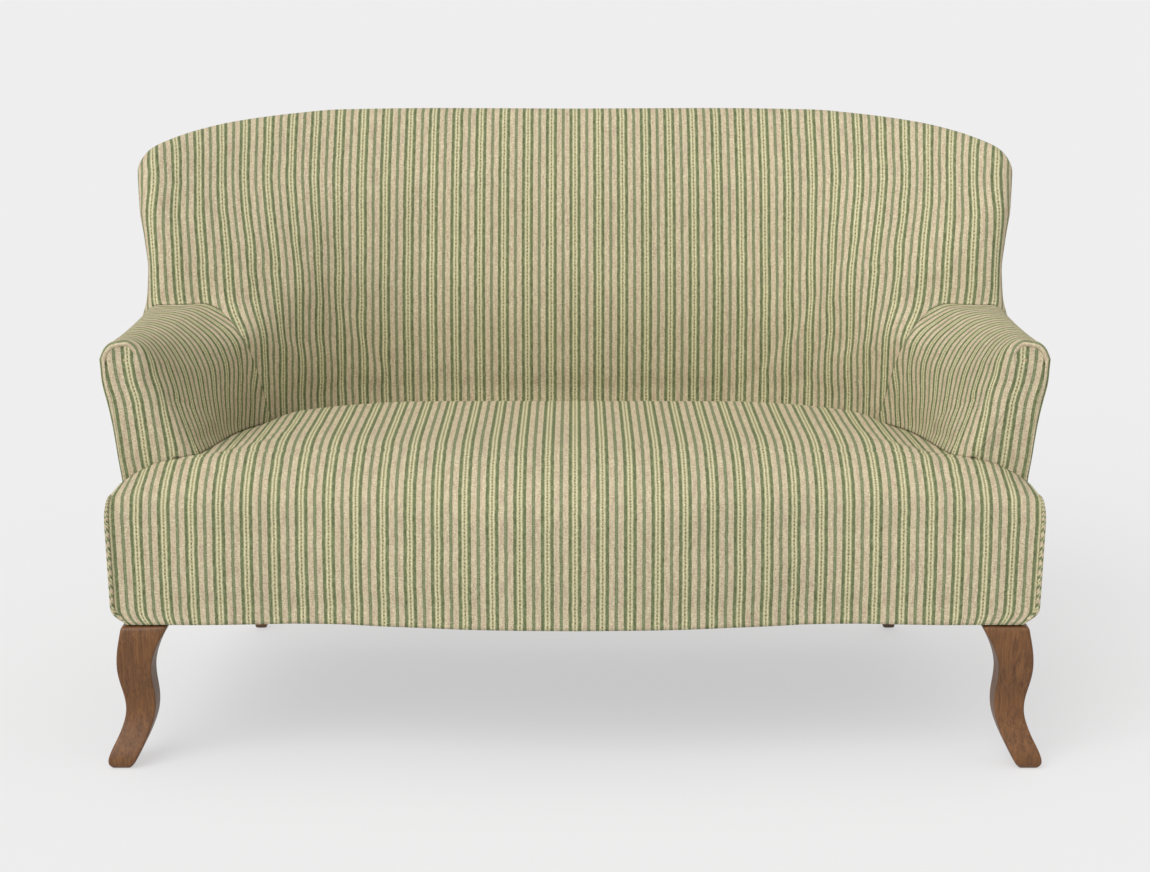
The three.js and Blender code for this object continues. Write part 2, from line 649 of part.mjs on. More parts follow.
function armPoint(index, share) {
  const start = point(armFrontX(index), ARM_SETBACK + armRound(index), armFrontZ(index));
  const end = armBack(index);
  const length = end.y - start.y;
  const startSlope = point(armStartSlope(index), 1, 0).multiplyScalar(length);
  const endSlope = point(armEndSlope(index), 1, 0).multiplyScalar(length);
  const s = share;
  return start.multiplyScalar((1 + 2 * s) * (1 - s) ** 2)
    .addScaledVector(startSlope, s * (1 - s) ** 2)
    .addScaledVector(end, (3 - 2 * s) * s * s)
    .addScaledVector(endSlope, (s - 1) * s * s);
}

// The rounding between facing and arm: turn 0 lies on the facing, turn 1 on the arm
function armRoundPoint(index, turn) {
  const angle = (turn * Math.PI) / 2;
  const radius = armRound(index);
  const start = point(armFrontX(index), ARM_SETBACK + radius * (1 - Math.cos(angle)), armFrontZ(index));
  return start.addScaledVector(armInward(index), radius * (1 - Math.sin(angle)));
}

// The outer edge of the facing, from the seat's bottom to the nub
function facingOuterX(z) {
  const share = (z - SEAT_BOTTOM) / (armFrontZ(ARM_NUB_INDEX) - SEAT_BOTTOM);
  return mix(ARM_FOOT_HALF_WIDTH, armFrontX(ARM_NUB_INDEX), clamp(share, 0, 1) ** 1.7);
}

function facingRows() {
  const inner = [
    ...shares(FACING_LOWER_ROWS).slice(0, -1).map((share) => {
      const top = armRoundPoint(0, 0);
      return point(top.x, ARM_SETBACK, mix(SEAT_BOTTOM, top.z, share));
    }),
    ...shares(ARM_APEX_INDEX).map((share) => armRoundPoint(share * ARM_APEX_INDEX, 0)),
  ];
  const overTop = ROLL_STEPS;
  const free = inner.length - overTop - 1;
  const nub = armRoundPoint(ARM_NUB_INDEX, 0);
  const outer = [
    ...shares(free).slice(0, -1).map((share) => {
      const z = mix(SEAT_BOTTOM, nub.z, share);
      const reach = nub.x - facingOuterX(nub.z);
      return point(facingOuterX(z) + reach * ease(share), ARM_SETBACK, z);
    }),
    ...shares(overTop).map((share) => armRoundPoint(mix(ARM_NUB_INDEX, ARM_APEX_INDEX, share), 0)),
  ];
  return inner.map((left, row) => shares(FACING_COLUMNS).map((share) => left.clone().lerp(outer[row], share)));
}

const armIndices = [
  ...shares(ARM_APEX_INDEX).slice(0, -1).map((share) => Math.round(share * ARM_APEX_INDEX)),
  ...shares(ROLL_STEPS).map((share) => mix(ARM_APEX_INDEX, ARM_NUB_INDEX, share)),
];

// The pad begins where the rounding has turned by this much of its quarter
const ARM_PAD_TURN = shares(ROUND_ROWS)[ROUND_ROWS - 1];

function armSweep(firstTurn, gap) {
  const turns = shares(ROUND_ROWS).filter((turn) => turn > firstTurn && turn < 1);
  const length = armBack(0).y - ARM_SETBACK;
  return armIndices.map((index) => [
    ...[firstTurn, ...turns].map((turn) => armRoundPoint(index, turn)),
    ...shares(ARM_ROWS).map((share) => armPoint(index, share * (1 - gap / length))),
  ].reverse());
}

function armSheet() {
  return new Sheet().grid(facingRows()).grid(armSweep(0, SEAM_GAP));
}

function armPad() {
  const grid = armSweep(ARM_PAD_TURN, SEAM_GAP).slice(0, ARM_APEX_INDEX);
  const backs = grid.map((row, i) => row.map((place) => (
    place.clone().addScaledVector(armInward(armIndices[i]), ARM_PAD_THICKNESS))));
  const pad = shell(new Sheet().grid(grid, backs), CLOTH + CLEARANCE, ARM_PAD_THICKNESS);
  return cut(pad, roomOf(armSheet()), roomOf(backSheet()), roomOf(outsideArmSheet()));
}

// Outside of arms, wings and back

const LOWER_ROWS = 4;
const UPPER_ROWS = 6;
const SIDE_COLUMNS = 4;
const CORNER_COLUMNS = 7;
const REAR_COLUMNS = 5;

const rimOuter = (place) => rollPoint(place, 1);
const outerStart = rimOuter(0);
const outerCorner = rimOuter(rimCornerPlace);
const outerMiddle = rimOuter(rimEnd);

const wingEdges = shares(12).map((share) => rimOuter(rimCornerPlace * share));
const wingEdgeDepth = curve(wingEdges.map((place) => place.z), wingEdges.map((place) => place.y));
const wingEdgeX = curve(wingEdges.map((place) => place.z), wingEdges.map((place) => place.x));
const sideX = curve(
  SIDE_LEVEL_SHARES.map((share) => mix(SEAT_BOTTOM, outerStart.z, share)),
  SIDE_WIDTH_SHARES.map((share) => share * WING_HALF_WIDTH),
);
const squareness = curve([SEAT_BOTTOM, outerStart.z, outerCorner.z, outerMiddle.z], SQUARENESS_SHARES);

function outsidePlan(z) {
  const level = clamp(z, outerStart.z, outerCorner.z);
  const start = wingEdgeDepth(level);
  const lean = (z - SEAT_BOTTOM) / (outerMiddle.z - SEAT_BOTTOM);
  const rear = mix(OUTSIDE_FOOT_DEPTH, outerMiddle.y, lean);
  const half = z < outerStart.z ? sideX(z) : wingEdgeX(level);
  return { half, start, reach: rear - start, power: squareness(z) };
}

// Around the outside: 0 at the wing's edge, 1 at the rear seam and 2 at the middle of the back
function outsideBase(around, z) {
  const plan = outsidePlan(z);
  const seamAngle = Math.acos(BACK_PANEL_SHARE ** (plan.power / 2));
  const across = around <= 1
    ? Math.cos(around * seamAngle) ** (2 / plan.power)
    : BACK_PANEL_SHARE * (2 - around);
  const back = (1 - across ** plan.power) ** (1 / plan.power);
  return point(plan.half * across, plan.start + plan.reach * back, z);
}

function aroundOf(place) {
  const plan = outsidePlan(place.z);
  const across = place.x / plan.half;
  const back = Math.max(place.y - plan.start, 0) / plan.reach;
  const share = across / (across ** plan.power + back ** plan.power) ** (1 / plan.power);
  if (share < BACK_PANEL_SHARE) return 2 - share / BACK_PANEL_SHARE;
  return Math.acos(Math.min(share, 1) ** (plan.power / 2)) / Math.acos(BACK_PANEL_SHARE ** (plan.power / 2));
}

const topEdges = shares(24).map((share) => rimOuter(mix(rimCornerPlace, rimEnd, share)));
const topAround = topEdges.map((place, i) => (i ? aroundOf(place) : 0));
const topHeight = curve(topAround, topEdges.map((place) => place.z));
const topShift = ['x', 'y'].map((key) => curve(topAround, topEdges.map((place, i) => (
  place[key] - outsideBase(topAround[i], place.z)[key]))));

function outsidePoint(around, z) {
  const top = topHeight(around);
  const share = ease((z - outerStart.z) / (top - outerStart.z)) ** 2;
  const base = outsideBase(around, z);
  return base.add(point(topShift[0](around) * share, topShift[1](around) * share, 0));
}

function outsideArmSheet() {
  const front = ARM_SETBACK + CLOTH + 2 * CLEARANCE;
  const last = 1 - SEAM_GAP / OUTSIDE_FOOT_DEPTH;
  const corner = shares(CORNER_COLUMNS).map((share) => share * last);
  const behindWing = (around, place) => place.add(point(0, around === 0 ? 2 * SEAM_GAP : 0, 0));
  const rows = shares(LOWER_ROWS).map((share) => {
    const row = [];
    const nubTop = (part) => armPoint(ARM_NUB_INDEX, part).z - SEAM_GAP;
    shares(SIDE_COLUMNS).slice(0, -1).forEach((part) => {
      const z = mix(SEAT_BOTTOM, nubTop(part), share);
      const edge = armPoint(ARM_NUB_INDEX, part);
      const start = outsidePoint(0, Math.min(z, outerStart.z));
      const x = mix(facingOuterX(z), start.x, part);
      row.push(point(mix(x, edge.x, ease(share) ** 3), mix(front, start.y, part), z));
    });
    corner.forEach((around) => {
      const z = mix(SEAT_BOTTOM, outerStart.z - SEAM_GAP, share);
      row.push(behindWing(around, outsidePoint(around, z)));
    });
    return row;
  });
  const upper = shares(UPPER_ROWS).map((share) => corner.map((around) => {
    const z = mix(outerStart.z - SEAM_GAP, topHeight(around) - SEAM_GAP, share);
    return behindWing(around, outsidePoint(around, z));
  }));
  return new Sheet().grid(rows).grid(upper);
}

function outsideArmPanel() {
  return cut(coverOf(outsideArmSheet()), roomOf(backSheet()), roomOf(armSheet()), coverOf(backSheet()));
}

function outsideBackPanel() {
  const first = 1 + SEAM_GAP / OUTSIDE_FOOT_DEPTH;
  const columns = shares(REAR_COLUMNS).map((share) => mix(first, 2, share));
  const level = outerStart.z - SEAM_GAP;
  const rows = [
    ...shares(LOWER_ROWS).map((share) => columns.map((around) => outsidePoint(around, mix(SEAT_BOTTOM, level, share)))),
    ...shares(UPPER_ROWS).slice(1).map((share) => columns.map((around) => (
      outsidePoint(around, mix(level, topHeight(around) - SEAM_GAP, share))))),
  ];
  return cut(coverOf(new Sheet().grid(rows).mirrored()), roomOf(backSheet()));
}

// Seat

const FACE_ROWS = 3;
const CREST_ROWS = 5;
const SEAT_COLUMNS = CREVICE_COLUMNS;
const EAR_COLUMNS = 4;
const ROUND_PART_SHARE = 0.12;
const CREST_POWER = 2.7;

const bow = curve(BOW_PLACE_SHARES, BOW_SHARES);
const frontPlan = (x) => SERPENTINE_DEPTH * bow(Math.abs(x) / EAR_HALF_WIDTH) - FRONT_BOW;
const seatEdge = SEAT_HEIGHT - CREST_RISE;
const earStart = EAR_HALF_WIDTH - EAR_FALL_WIDTH;

// How far the crest has risen, from 0 to 1, a way behind the front face
function crest(way) {
  const rest = clamp(1 - way / CREST_DEPTH, 0, 1);
  return (1 - rest ** CREST_POWER) ** (1 / CREST_POWER);
}

function earFall(x) {
  const share = clamp((Math.abs(x) - earStart) / EAR_FALL_WIDTH, 0, 1);
  return Math.sqrt(1 - share * share);
}

function earTuck(x, z) {
  const share = clamp((Math.abs(x) - earStart) / EAR_FALL_WIDTH, 0, 1);
  const low = clamp(1 - (z - SEAT_BOTTOM) / EAR_TUCK_HEIGHT, 0, 1);
  return EAR_TUCK * share * share * low * low * Math.sign(x);
}

function swell(x, z) {
  const across = 1 - ease(Math.abs(x) / (EAR_HALF_WIDTH * 0.6));
  return FACE_SWELL * across * ease((z - SEAT_BOTTOM) / (seatEdge - SEAT_BOTTOM));
}

function facePoint(x, z) {
  return point(x - earTuck(x, z), frontPlan(x) - swell(x, z), z);
}

function crestPoint(x, share) {
  const end = ARM_SETBACK - SEAM_GAP - frontPlan(x);
  const way = end * share ** 2.4;
  const z = seatEdge + CREST_RISE * crest(way) * earFall(x);
  return point(x, frontPlan(x) + way - swell(x, z < SEAT_HEIGHT ? seatEdge : z) * (1 - share) ** 2, z);
}

// The edge along which the seat meets the arms and the back, from the facing to the middle
function seatSide(share) {
  const place = share < ROUND_PART_SHARE
    ? armRoundPoint(0, share / ROUND_PART_SHARE)
    : armPoint(0, (share - ROUND_PART_SHARE) / (1 - ROUND_PART_SHARE));
  return place.add(point(-SEAM_GAP, -SEAM_GAP * (1 - share), 0));
}

function seatRear(share) {
  const [x, z] = backFoot((share * CREVICE_COLUMNS) / BACK_COLUMNS);
  return point(x, insideDepth(x, z) - SEAM_GAP, z);
}

function seatTopPoint(across, back) {
  const side = seatSide(back);
  const rear = seatRear(across);
  const front = point(seatSide(0).x * across, ARM_SETBACK - SEAM_GAP, 0);
  const middle = point(0, mix(front.y, seatRear(0).y, back), 0);
  const corner = seatRear(1);
  const place = [0, 1].map((k) => {
    const of = (at) => at.getComponent(k);
    return (1 - back) * of(front) + back * of(rear) + (1 - across) * of(middle) + across * of(side)
      - (1 - across) * (back * of(seatRear(0)) + (1 - back) * of(point(0, front.y, 0)))
      - across * (back * of(corner) + (1 - back) * of(point(seatSide(0).x, front.y, 0)));
  });
  const way = place[1] - frontPlan(place[0]);
  const level = seatEdge + CREST_RISE * crest(way) * mix(earFall(place[0]), 1, back);
  const sideDip = ease((across - 0.84) / 0.16) * ease(back / 0.1);
  const rearDip = ease((back - 0.72) / 0.28);
  const dipped = mix(level, side.z, sideDip);
  return point(place[0], place[1], mix(dipped, mix(rear.z, side.z, sideDip), rearDip));
}

function seatColumns(halfWidth) {
  const inner = seatSide(0).x;
  return [
    ...shares(SEAT_COLUMNS).map((share) => share * Math.min(inner, halfWidth)),
    ...shares(EAR_COLUMNS).slice(1).map((share) => mix(inner, halfWidth, Math.sin((share * Math.PI) / 2))),
  ];
}

// The hidden side of the pad: behind the face, and under the top
function seatBack(place) {
  const way = Math.max(place.y - frontPlan(place.x), FRONT_PAD_THICKNESS);
  const rise = Math.max(place.z - seatEdge, 0) / CREST_RISE;
  return point(place.x, frontPlan(place.x) + way, place.z - SEAT_PAD_THICKNESS * rise);
}

function seatStrip() {
  const columns = seatColumns(EAR_HALF_WIDTH);
  const face = shares(FACE_ROWS).map((share) => columns.map((x) => facePoint(x, mix(SEAT_BOTTOM, seatEdge, share))));
  const top = shares(CREST_ROWS).slice(1).map((share) => columns.map((x) => crestPoint(x, share)));
  return [...face, ...top];
}

function seatTop() {
  const rows = [
    ...shares(ROUND_ROWS).map((share) => share * ROUND_PART_SHARE),
    ...shares(ARM_ROWS).slice(1).map((share) => mix(ROUND_PART_SHARE, 1, share)),
  ];
  return rows.map((back) => shares(SEAT_COLUMNS).map((across) => seatTopPoint(across, back)));
}

function seatSheet() {
  return new Sheet().grid(seatStrip()).grid(seatTop()).mirrored();
}

function seatPad() {
  const strip = seatStrip().map((row) => row.slice(0, -1));
  const top = seatTop();
  const backs = (rows) => rows.map((row) => row.map(seatBack));
  const sheet = new Sheet().grid(strip, backs(strip)).grid(top, backs(top)).mirrored();
  const pad = shell(sheet, CLOTH + CLEARANCE, SEAT_PAD_THICKNESS);
  return cut(pad, roomOf(seatSheet()), roomOf(backSheet()), roomOf(armSheet()), opposite(roomOf(armSheet())));
}

// Hessian lies on the springs, under the pad
function seatHessian() {
  const every = (list, step, first) => list.filter((item, i) => i >= first && (i - first) % step === 0);
  const rows = every(seatTop(), 3, 1).map((row) => every(row.slice(0, -1), 2, 0).map(seatBack));
  return shell(new Sheet().grid(rows).mirrored(), SEAM_GAP, SEAM_GAP + HESSIAN_THICKNESS);
}

function seatSidePanel() {
  const front = frontPlan(EAR_HALF_WIDTH) + CLOTH + 2 * CLEARANCE;
  const back = ARM_SETBACK - 2 * CLEARANCE;
  const rows = shares(FACE_ROWS).map((share) => {
    const z = mix(SEAT_BOTTOM, seatEdge - 2 * SEAM_GAP, share);
    return [front, back].map((depth) => point(EAR_HALF_WIDTH - earTuck(EAR_HALF_WIDTH, z), depth, z));
  });
  return shell(new Sheet().grid(rows), 0, CLOTH);
}

function seatPiping() {
  const out = (PIPING_RADIUS + CLEARANCE) * Math.SQRT1_2;
  const start = SEAT_BOTTOM + PIPING_START;
  return upright(EAR_HALF_WIDTH + out, frontPlan(EAR_HALF_WIDTH) - out, start, start + PIPING_HEIGHT, PIPING_RADIUS);
}

// Seat frame

const railTop = SEAT_BOTTOM + RAIL_HEIGHT;
const frontRailFace = (x) => frontPlan(x) + FRONT_PAD_THICKNESS + SEAM_GAP;
const frontRailRear = (x) => frontRailFace(x) + RAIL_THICKNESS;
const rearRailFront = REAR_RAIL_DEPTH - RAIL_THICKNESS;
const boardFront = ARM_SETBACK + CLOTH + CLEARANCE;
const boardRear = boardFront + ARM_BOARD_THICKNESS;
const sideRailInner = SIDE_RAIL_HALF_WIDTH - RAIL_THICKNESS;
const FRONT_RAIL_STEPS = 20;

function frontRail() {
  const places = shares(FRONT_RAIL_STEPS).map((share) => mix(-FRONT_RAIL_HALF_WIDTH, FRONT_RAIL_HALF_WIDTH, share));
  const face = places.map((x) => [x, frontRailFace(x)]);
  const rear = places.map((x) => [x, frontRailRear(x)]).reverse();
  return cut(slab([...face, ...rear], SEAT_BOTTOM, railTop), ...boltHoles());
}

function rearRail() {
  const low = point(-REAR_RAIL_HALF_WIDTH, rearRailFront, SEAT_BOTTOM);
  return cut(block(low, point(REAR_RAIL_HALF_WIDTH, REAR_RAIL_DEPTH, railTop)), ...boltHoles());
}

function sideRail() {
  return block(
    point(sideRailInner, boardRear + CLEARANCE, SEAT_BOTTOM),
    point(SIDE_RAIL_HALF_WIDTH, rearRailFront - CLEARANCE, SEAT_BOTTOM + SIDE_RAIL_HEIGHT),
  );
}

function seatStretcher() {
  return block(
    point(-STRETCHER_WIDTH / 2, frontRailRear(STRETCHER_WIDTH / 2) + CLEARANCE, SEAT_BOTTOM),
    point(STRETCHER_WIDTH / 2, rearRailFront - CLEARANCE, SEAT_BOTTOM + STRETCHER_HEIGHT),
  );
}

function frontBlock() {
  const outer = SIDE_RAIL_HALF_WIDTH;
  const inner = outer - BLOCK_LEG;
  const front = Math.max(frontRailRear(outer), frontRailRear(inner)) + CLEARANCE;
  return block(point(inner, front, SEAT_BOTTOM), point(outer, ARM_SETBACK - CLEARANCE, SEAT_BOTTOM + BLOCK_HEIGHT));
}

function rearBlock() {
  const side = sideRailInner - CLEARANCE;
  const rear = rearRailFront - CLEARANCE;
  const corners = [[side, rear], [side - BLOCK_LEG, rear], [side, rear - BLOCK_LEG]];
  return slab(corners, SEAT_BOTTOM, SEAT_BOTTOM + BLOCK_HEIGHT);
}

function dustCover() {
  const places = shares(FRONT_RAIL_STEPS).map((share) => share * (FRONT_LEG_HALF_SPREAD - LEG_SIZE));
  const front = places.map((x) => [x, frontRailFace(x) + RAIL_THICKNESS / 2]);
  const side = SIDE_RAIL_HALF_WIDTH - CLOTH;
  const rearNotch = REAR_LEG_DEPTH - LEG_SIZE;
  const right = [
    ...front,
    [FRONT_LEG_HALF_SPREAD - LEG_SIZE, boardFront],
    [side, boardFront],
    [side, rearNotch],
    [REAR_LEG_HALF_SPREAD - LEG_SIZE, rearNotch],
    [REAR_LEG_HALF_SPREAD - LEG_SIZE, REAR_RAIL_DEPTH],
  ];
  const left = right.slice(1).reverse().map(([x, depth]) => [-x, depth]);
  const top = SEAT_BOTTOM - CLEARANCE;
  return slab([...right, ...left], top - DUST_COVER_THICKNESS, top);
}

// Springs from rail to rail

const springPlaces = shares(SPRING_COUNT - 1).map((share) => (share - 0.5) * (SPRING_COUNT - 1) * SPRING_SPACING);
const springEndHeight = railTop + SPRING_WIRE_RADIUS + CLEARANCE;
const springFront = (x) => frontRailRear(x) - RAIL_THICKNESS / 2;
const springRear = REAR_RAIL_DEPTH - RAIL_THICKNESS / 2;

function seatSpring(x) {
  const steps = 2 * SPRING_BENDS;
  const places = shares(steps).map((share, i) => {
    const swing = SPRING_SWING * Math.sin((i * Math.PI) / 2);
    const rise = SPRING_ARCH * Math.sin(share * Math.PI);
    return point(x + swing, mix(springFront(x), springRear, share), springEndHeight + rise);
  });
  const corners = shares(4).slice(1).map((turn) => new THREE.Vector2(
    SPRING_WIRE_RADIUS * Math.cos(turn * 2 * Math.PI), SPRING_WIRE_RADIUS * Math.sin(turn * 2 * Math.PI)));
  const section = new THREE.Shape(corners);
  const path = new THREE.CatmullRomCurve3(places);
  return new THREE.ExtrudeGeometry(section, { steps, bevelEnabled: false, extrudePath: path });
}

// Arm frame

const topArmRailTop = ARM_HEIGHT - ARM_RAIL_DROP;
const sideRailTop = SEAT_BOTTOM + SIDE_RAIL_HEIGHT;

function armPost() {
  const turned = 1 - Math.sin((ARM_PAD_TURN * Math.PI) / 2);
  const inset = (index) => ARM_PAD_THICKNESS + armRound(index) * turned + 2 * CLEARANCE;
  const over = armIndices.filter((index) => index <= ARM_APEX_INDEX).map((index) => {
    const inward = armInward(index);
    return [armFrontX(index) + inward.x * inset(index), armFrontZ(index) + inward.z * inset(index)];
  });
  const nubRise = armFrontZ(ARM_NUB_INDEX) - armFrontZ(0) - 2 * ARM_OUTER_RADIUS;
  const outer = shares(FACE_ROWS).map((share) => {
    const z = mix(over[0][1] + nubRise, SEAT_BOTTOM, share);
    return [facingOuterX(z) - 2 * CLOTH, z];
  });
  const shoulder = Math.max(...over.map(([x]) => x)) + 2 * CLOTH;
  const ledge = [[shoulder, over[ARM_APEX_INDEX][1]], [shoulder, outer[0][1]]];
  const outline = [[over[0][0], SEAT_BOTTOM], ...over, ...ledge, ...outer];
  const shape = new THREE.Shape(outline.map(([x, z]) => new THREE.Vector2(x, z)));
  const board = new THREE.ExtrudeGeometry(shape, { depth: ARM_BOARD_THICKNESS, bevelEnabled: false });
  return cut(board.rotateX(Math.PI / 2).translate(0, boardRear, 0), roomOf(armSheet()));
}

const wingPostFoot = point(SIDE_RAIL_HALF_WIDTH - WING_POST_THICKNESS / 2, WING_POST_FOOT_DEPTH, sideRailTop + CLEARANCE);
const wingPostHead = point(WING_POST_HEAD_HALF_WIDTH, WING_POST_HEAD_DEPTH, WING_POST_TOP);
const wingPostFront = (z) => {
  const share = (z - wingPostFoot.z) / (wingPostHead.z - wingPostFoot.z);
  return mix(wingPostFoot.y, wingPostHead.y, share) - WING_POST_DEPTH / 2;
};

function armRail(outer, bottom) {
  return block(
    point(outer - ARM_RAIL_WIDTH, boardRear + CLEARANCE, bottom),
    point(outer, wingPostFront(bottom) - CLEARANCE, bottom + ARM_RAIL_HEIGHT),
  );
}

// Back frame

const postFoot = point(BACK_POST_HALF_WIDTH, BACK_POST_FOOT_DEPTH, railTop + CLEARANCE);
const postHead = point(BACK_POST_HALF_WIDTH, BACK_POST_HEAD_DEPTH, TOP_RAIL_TOP - TOP_RAIL_HEIGHT - CLEARANCE);
const backPostDepth = (z) => mix(postFoot.y, postHead.y, (z - postFoot.z) / (postHead.z - postFoot.z));
const topRailBow = (x) => TOP_RAIL_BOW * (x / BACK_POST_HALF_WIDTH) ** 2;

function backTopRail() {
  const half = BACK_POST_HALF_WIDTH + BACK_POST_WIDTH / 2;
  const places = shares(12).map((share) => mix(-half, half, share));
  const front = places.map((x) => [x, TOP_RAIL_DEPTH - topRailBow(x) - TOP_RAIL_THICKNESS / 2]);
  const rear = places.map((x) => [x, TOP_RAIL_DEPTH - topRailBow(x) + TOP_RAIL_THICKNESS / 2]).reverse();
  return slab([...front, ...rear], TOP_RAIL_TOP - TOP_RAIL_HEIGHT, TOP_RAIL_TOP);
}

const lowerRailBottom = LOWER_BACK_RAIL_TOP - LOWER_BACK_RAIL_HEIGHT;
const lowerRailDepth = backPostDepth(LOWER_BACK_RAIL_TOP);
const betweenPosts = BACK_POST_HALF_WIDTH - BACK_POST_WIDTH / 2 - CLEARANCE;

function backLowerRail() {
  return block(
    point(-betweenPosts, lowerRailDepth - BACK_POST_DEPTH / 2, lowerRailBottom),
    point(betweenPosts, lowerRailDepth + BACK_POST_DEPTH / 2, LOWER_BACK_RAIL_TOP),
  );
}

function backCentrePost() {
  const foot = point(0, lowerRailDepth, LOWER_BACK_RAIL_TOP + CLEARANCE);
  const head = point(0, TOP_RAIL_DEPTH, postHead.z);
  return beam(foot, head, CENTRE_POST_WIDTH, BACK_POST_DEPTH);
}

// Straps across the back posts, and up from rail to rail
const WEBS_ACROSS = 3;
const WEB_START_SHARE = 0.65;
const UPRIGHT_WEBS = 2;
const UPRIGHT_WEB_SPACING = 230;

function websAcross() {
  const rise = (postHead.z - LOWER_BACK_RAIL_TOP) / WEBS_ACROSS;
  const front = (z) => backPostDepth(z) - BACK_POST_DEPTH / 2 - CLEARANCE - WEB_THICKNESS / 2;
  return shares(WEBS_ACROSS - 1).map((share, i) => {
    const bottom = LOWER_BACK_RAIL_TOP + rise * (i + WEB_START_SHARE) - WEB_WIDTH / 2;
    const top = bottom + WEB_WIDTH;
    const width = 2 * BACK_POST_HALF_WIDTH + BACK_POST_WIDTH / 2;
    return beam(point(0, front(bottom), bottom), point(0, front(top), top), width, WEB_THICKNESS);
  });
}

function uprightWebs() {
  return shares(UPRIGHT_WEBS - 1).map((share) => {
    const x = (share - 0.5) * (UPRIGHT_WEBS - 1) * UPRIGHT_WEB_SPACING;
    const off = CLEARANCE + WEB_THICKNESS;
    const bow = topRailBow(Math.abs(x) + WEB_WIDTH / 2);
    const low = lowerRailDepth - BACK_POST_DEPTH / 2 - off;
    const high = TOP_RAIL_DEPTH - bow - TOP_RAIL_THICKNESS / 2 - off;
    const slope = (high - low) / (TOP_RAIL_TOP - LOWER_BACK_RAIL_TOP);
    const foot = point(x, low - slope * LOWER_BACK_RAIL_HEIGHT, lowerRailBottom);
    return beam(foot, point(x, high, TOP_RAIL_TOP), WEB_WIDTH, WEB_THICKNESS);
  });
}

// Legs

function squareRing(low, high, z) {
  const cutOff = LEG_CORNER_SHARE * Math.min(high[0] - low[0], high[1] - low[1]);
  const [a, b, c, d] = [low[0], high[0], low[1], high[1]];
  return [
    [a + cutOff, c], [b - cutOff, c], [b, c + cutOff], [b, d - cutOff],
    [b - cutOff, d], [a + cutOff, d], [a, d - cutOff], [a, c + cutOff],
  ].map(([x, depth]) => point(x, depth, z));
}

const legTop = SEAT_BOTTOM - CLEARANCE;

function frontLeg() {
  const x = FRONT_LEG_HALF_SPREAD;
  const rings = LEG_LEVEL_SHARES.map((level, i) => squareRing(
    [x + LEG_SIZE * LEG_INNER_SHARES[i], LEG_CENTRE_DEPTH + LEG_SIZE * LEG_FRONT_SHARES[i]],
    [x + LEG_SIZE * LEG_OUTER_SHARES[i], LEG_CENTRE_DEPTH + LEG_SIZE * LEG_BACK_SHARES[i]],
    legTop * level,
  ));
  return cut(loft(rings), ...boltHoles());
}

function rearLeg() {
  const levelShares = [0, 0.12, 0.26, 0.42, 0.6, 0.8, 1];
  const rings = levelShares.map((level) => {
    const half = mix(REAR_FOOT_WIDTH, REAR_LEG_WIDTH, level) / 2;
    const depth = REAR_LEG_DEPTH + REAR_LEG_RAKE * (1 - level) ** 1.6;
    return squareRing(
      [REAR_LEG_HALF_SPREAD - half, depth - half],
      [REAR_LEG_HALF_SPREAD + half, depth + half],
      legTop * level,
    );
  });
  return cut(loft(rings), ...boltHoles());
}

function legBolts(radius) {
  const bottom = SEAT_BOTTOM - LEG_BOLT_SINK;
  const top = SEAT_BOTTOM + LEG_BOLT_RISE;
  const grown = radius - LEG_BOLT_RADIUS;
  const frontDepth = frontRailRear(FRONT_LEG_HALF_SPREAD) - RAIL_THICKNESS / 2;
  return [
    upright(FRONT_LEG_HALF_SPREAD, frontDepth, bottom - grown, top + grown, radius),
    upright(REAR_LEG_HALF_SPREAD, REAR_LEG_DEPTH, bottom - grown, top + grown, radius),
  ];
}

function boltHoles() {
  const right = legBolts(LEG_BOLT_RADIUS + CLEARANCE);
  return [...right, ...right.map(opposite)];
}

// The whole settee

const cloth = { color: STRIPED_CLOTH, roughness: 0.95, metalness: 0 };
const plain = { color: PLAIN_CLOTH, roughness: 0.95, metalness: 0 };
const wadding = { color: WADDING, roughness: 1, metalness: 0 };
const beech = { color: BEECH, roughness: 0.7, metalness: 0 };
const stained = { color: STAINED_WOOD, roughness: 0.35, metalness: 0 };
const steel = { color: STEEL, roughness: 0.4, metalness: 1 };
const hessian = { color: HESSIAN_COLOUR, roughness: 1, metalness: 0 };
const web = { color: WEB_COLOUR, roughness: 1, metalness: 0 };
const blackCloth = { color: BLACK_CLOTH, roughness: 1, metalness: 0 };

const assembly = new THREE.Group();

function add(name, geometry, look) {
  const mesh = new THREE.Mesh(geometry, new THREE.MeshStandardMaterial(look));
  mesh.name = name;
  assembly.add(mesh);
}

function addPair(name, geometry, look) {
  add(`${name}_right`, geometry, look);
  add(`${name}_left`, opposite(geometry), look);
}

add('back_cover', coverOf(backSheet()), cloth);
add('seat_cover', coverOf(seatSheet()), cloth);
addPair('arm_cover', coverOf(armSheet()), cloth);
addPair('outside_arm_panel', outsideArmPanel(), cloth);
add('outside_back_panel', outsideBackPanel(), cloth);
addPair('seat_side_panel', seatSidePanel(), cloth);
addPair('seat_piping', seatPiping(), cloth);
add('back_pad', backPad(), wadding);
add('edge_roll', edgeRoll(0), wadding);
add('seat_pad', seatPad(), wadding);
addPair('arm_pad', armPad(), wadding);
add('seat_hessian', seatHessian(), hessian);
springPlaces.forEach((x, i) => add(`seat_spring_${i + 1}`, seatSpring(x), steel));
add('front_rail', frontRail(), beech);
add('rear_rail', rearRail(), beech);
addPair('side_rail', sideRail(), beech);
add('seat_stretcher', seatStretcher(), beech);
addPair('front_block', frontBlock(), beech);
addPair('rear_block', rearBlock(), beech);
addPair('arm_post', armPost(), beech);
addPair('arm_top_rail', armRail(ARM_RAIL_HALF_WIDTH, topArmRailTop - ARM_RAIL_HEIGHT), beech);
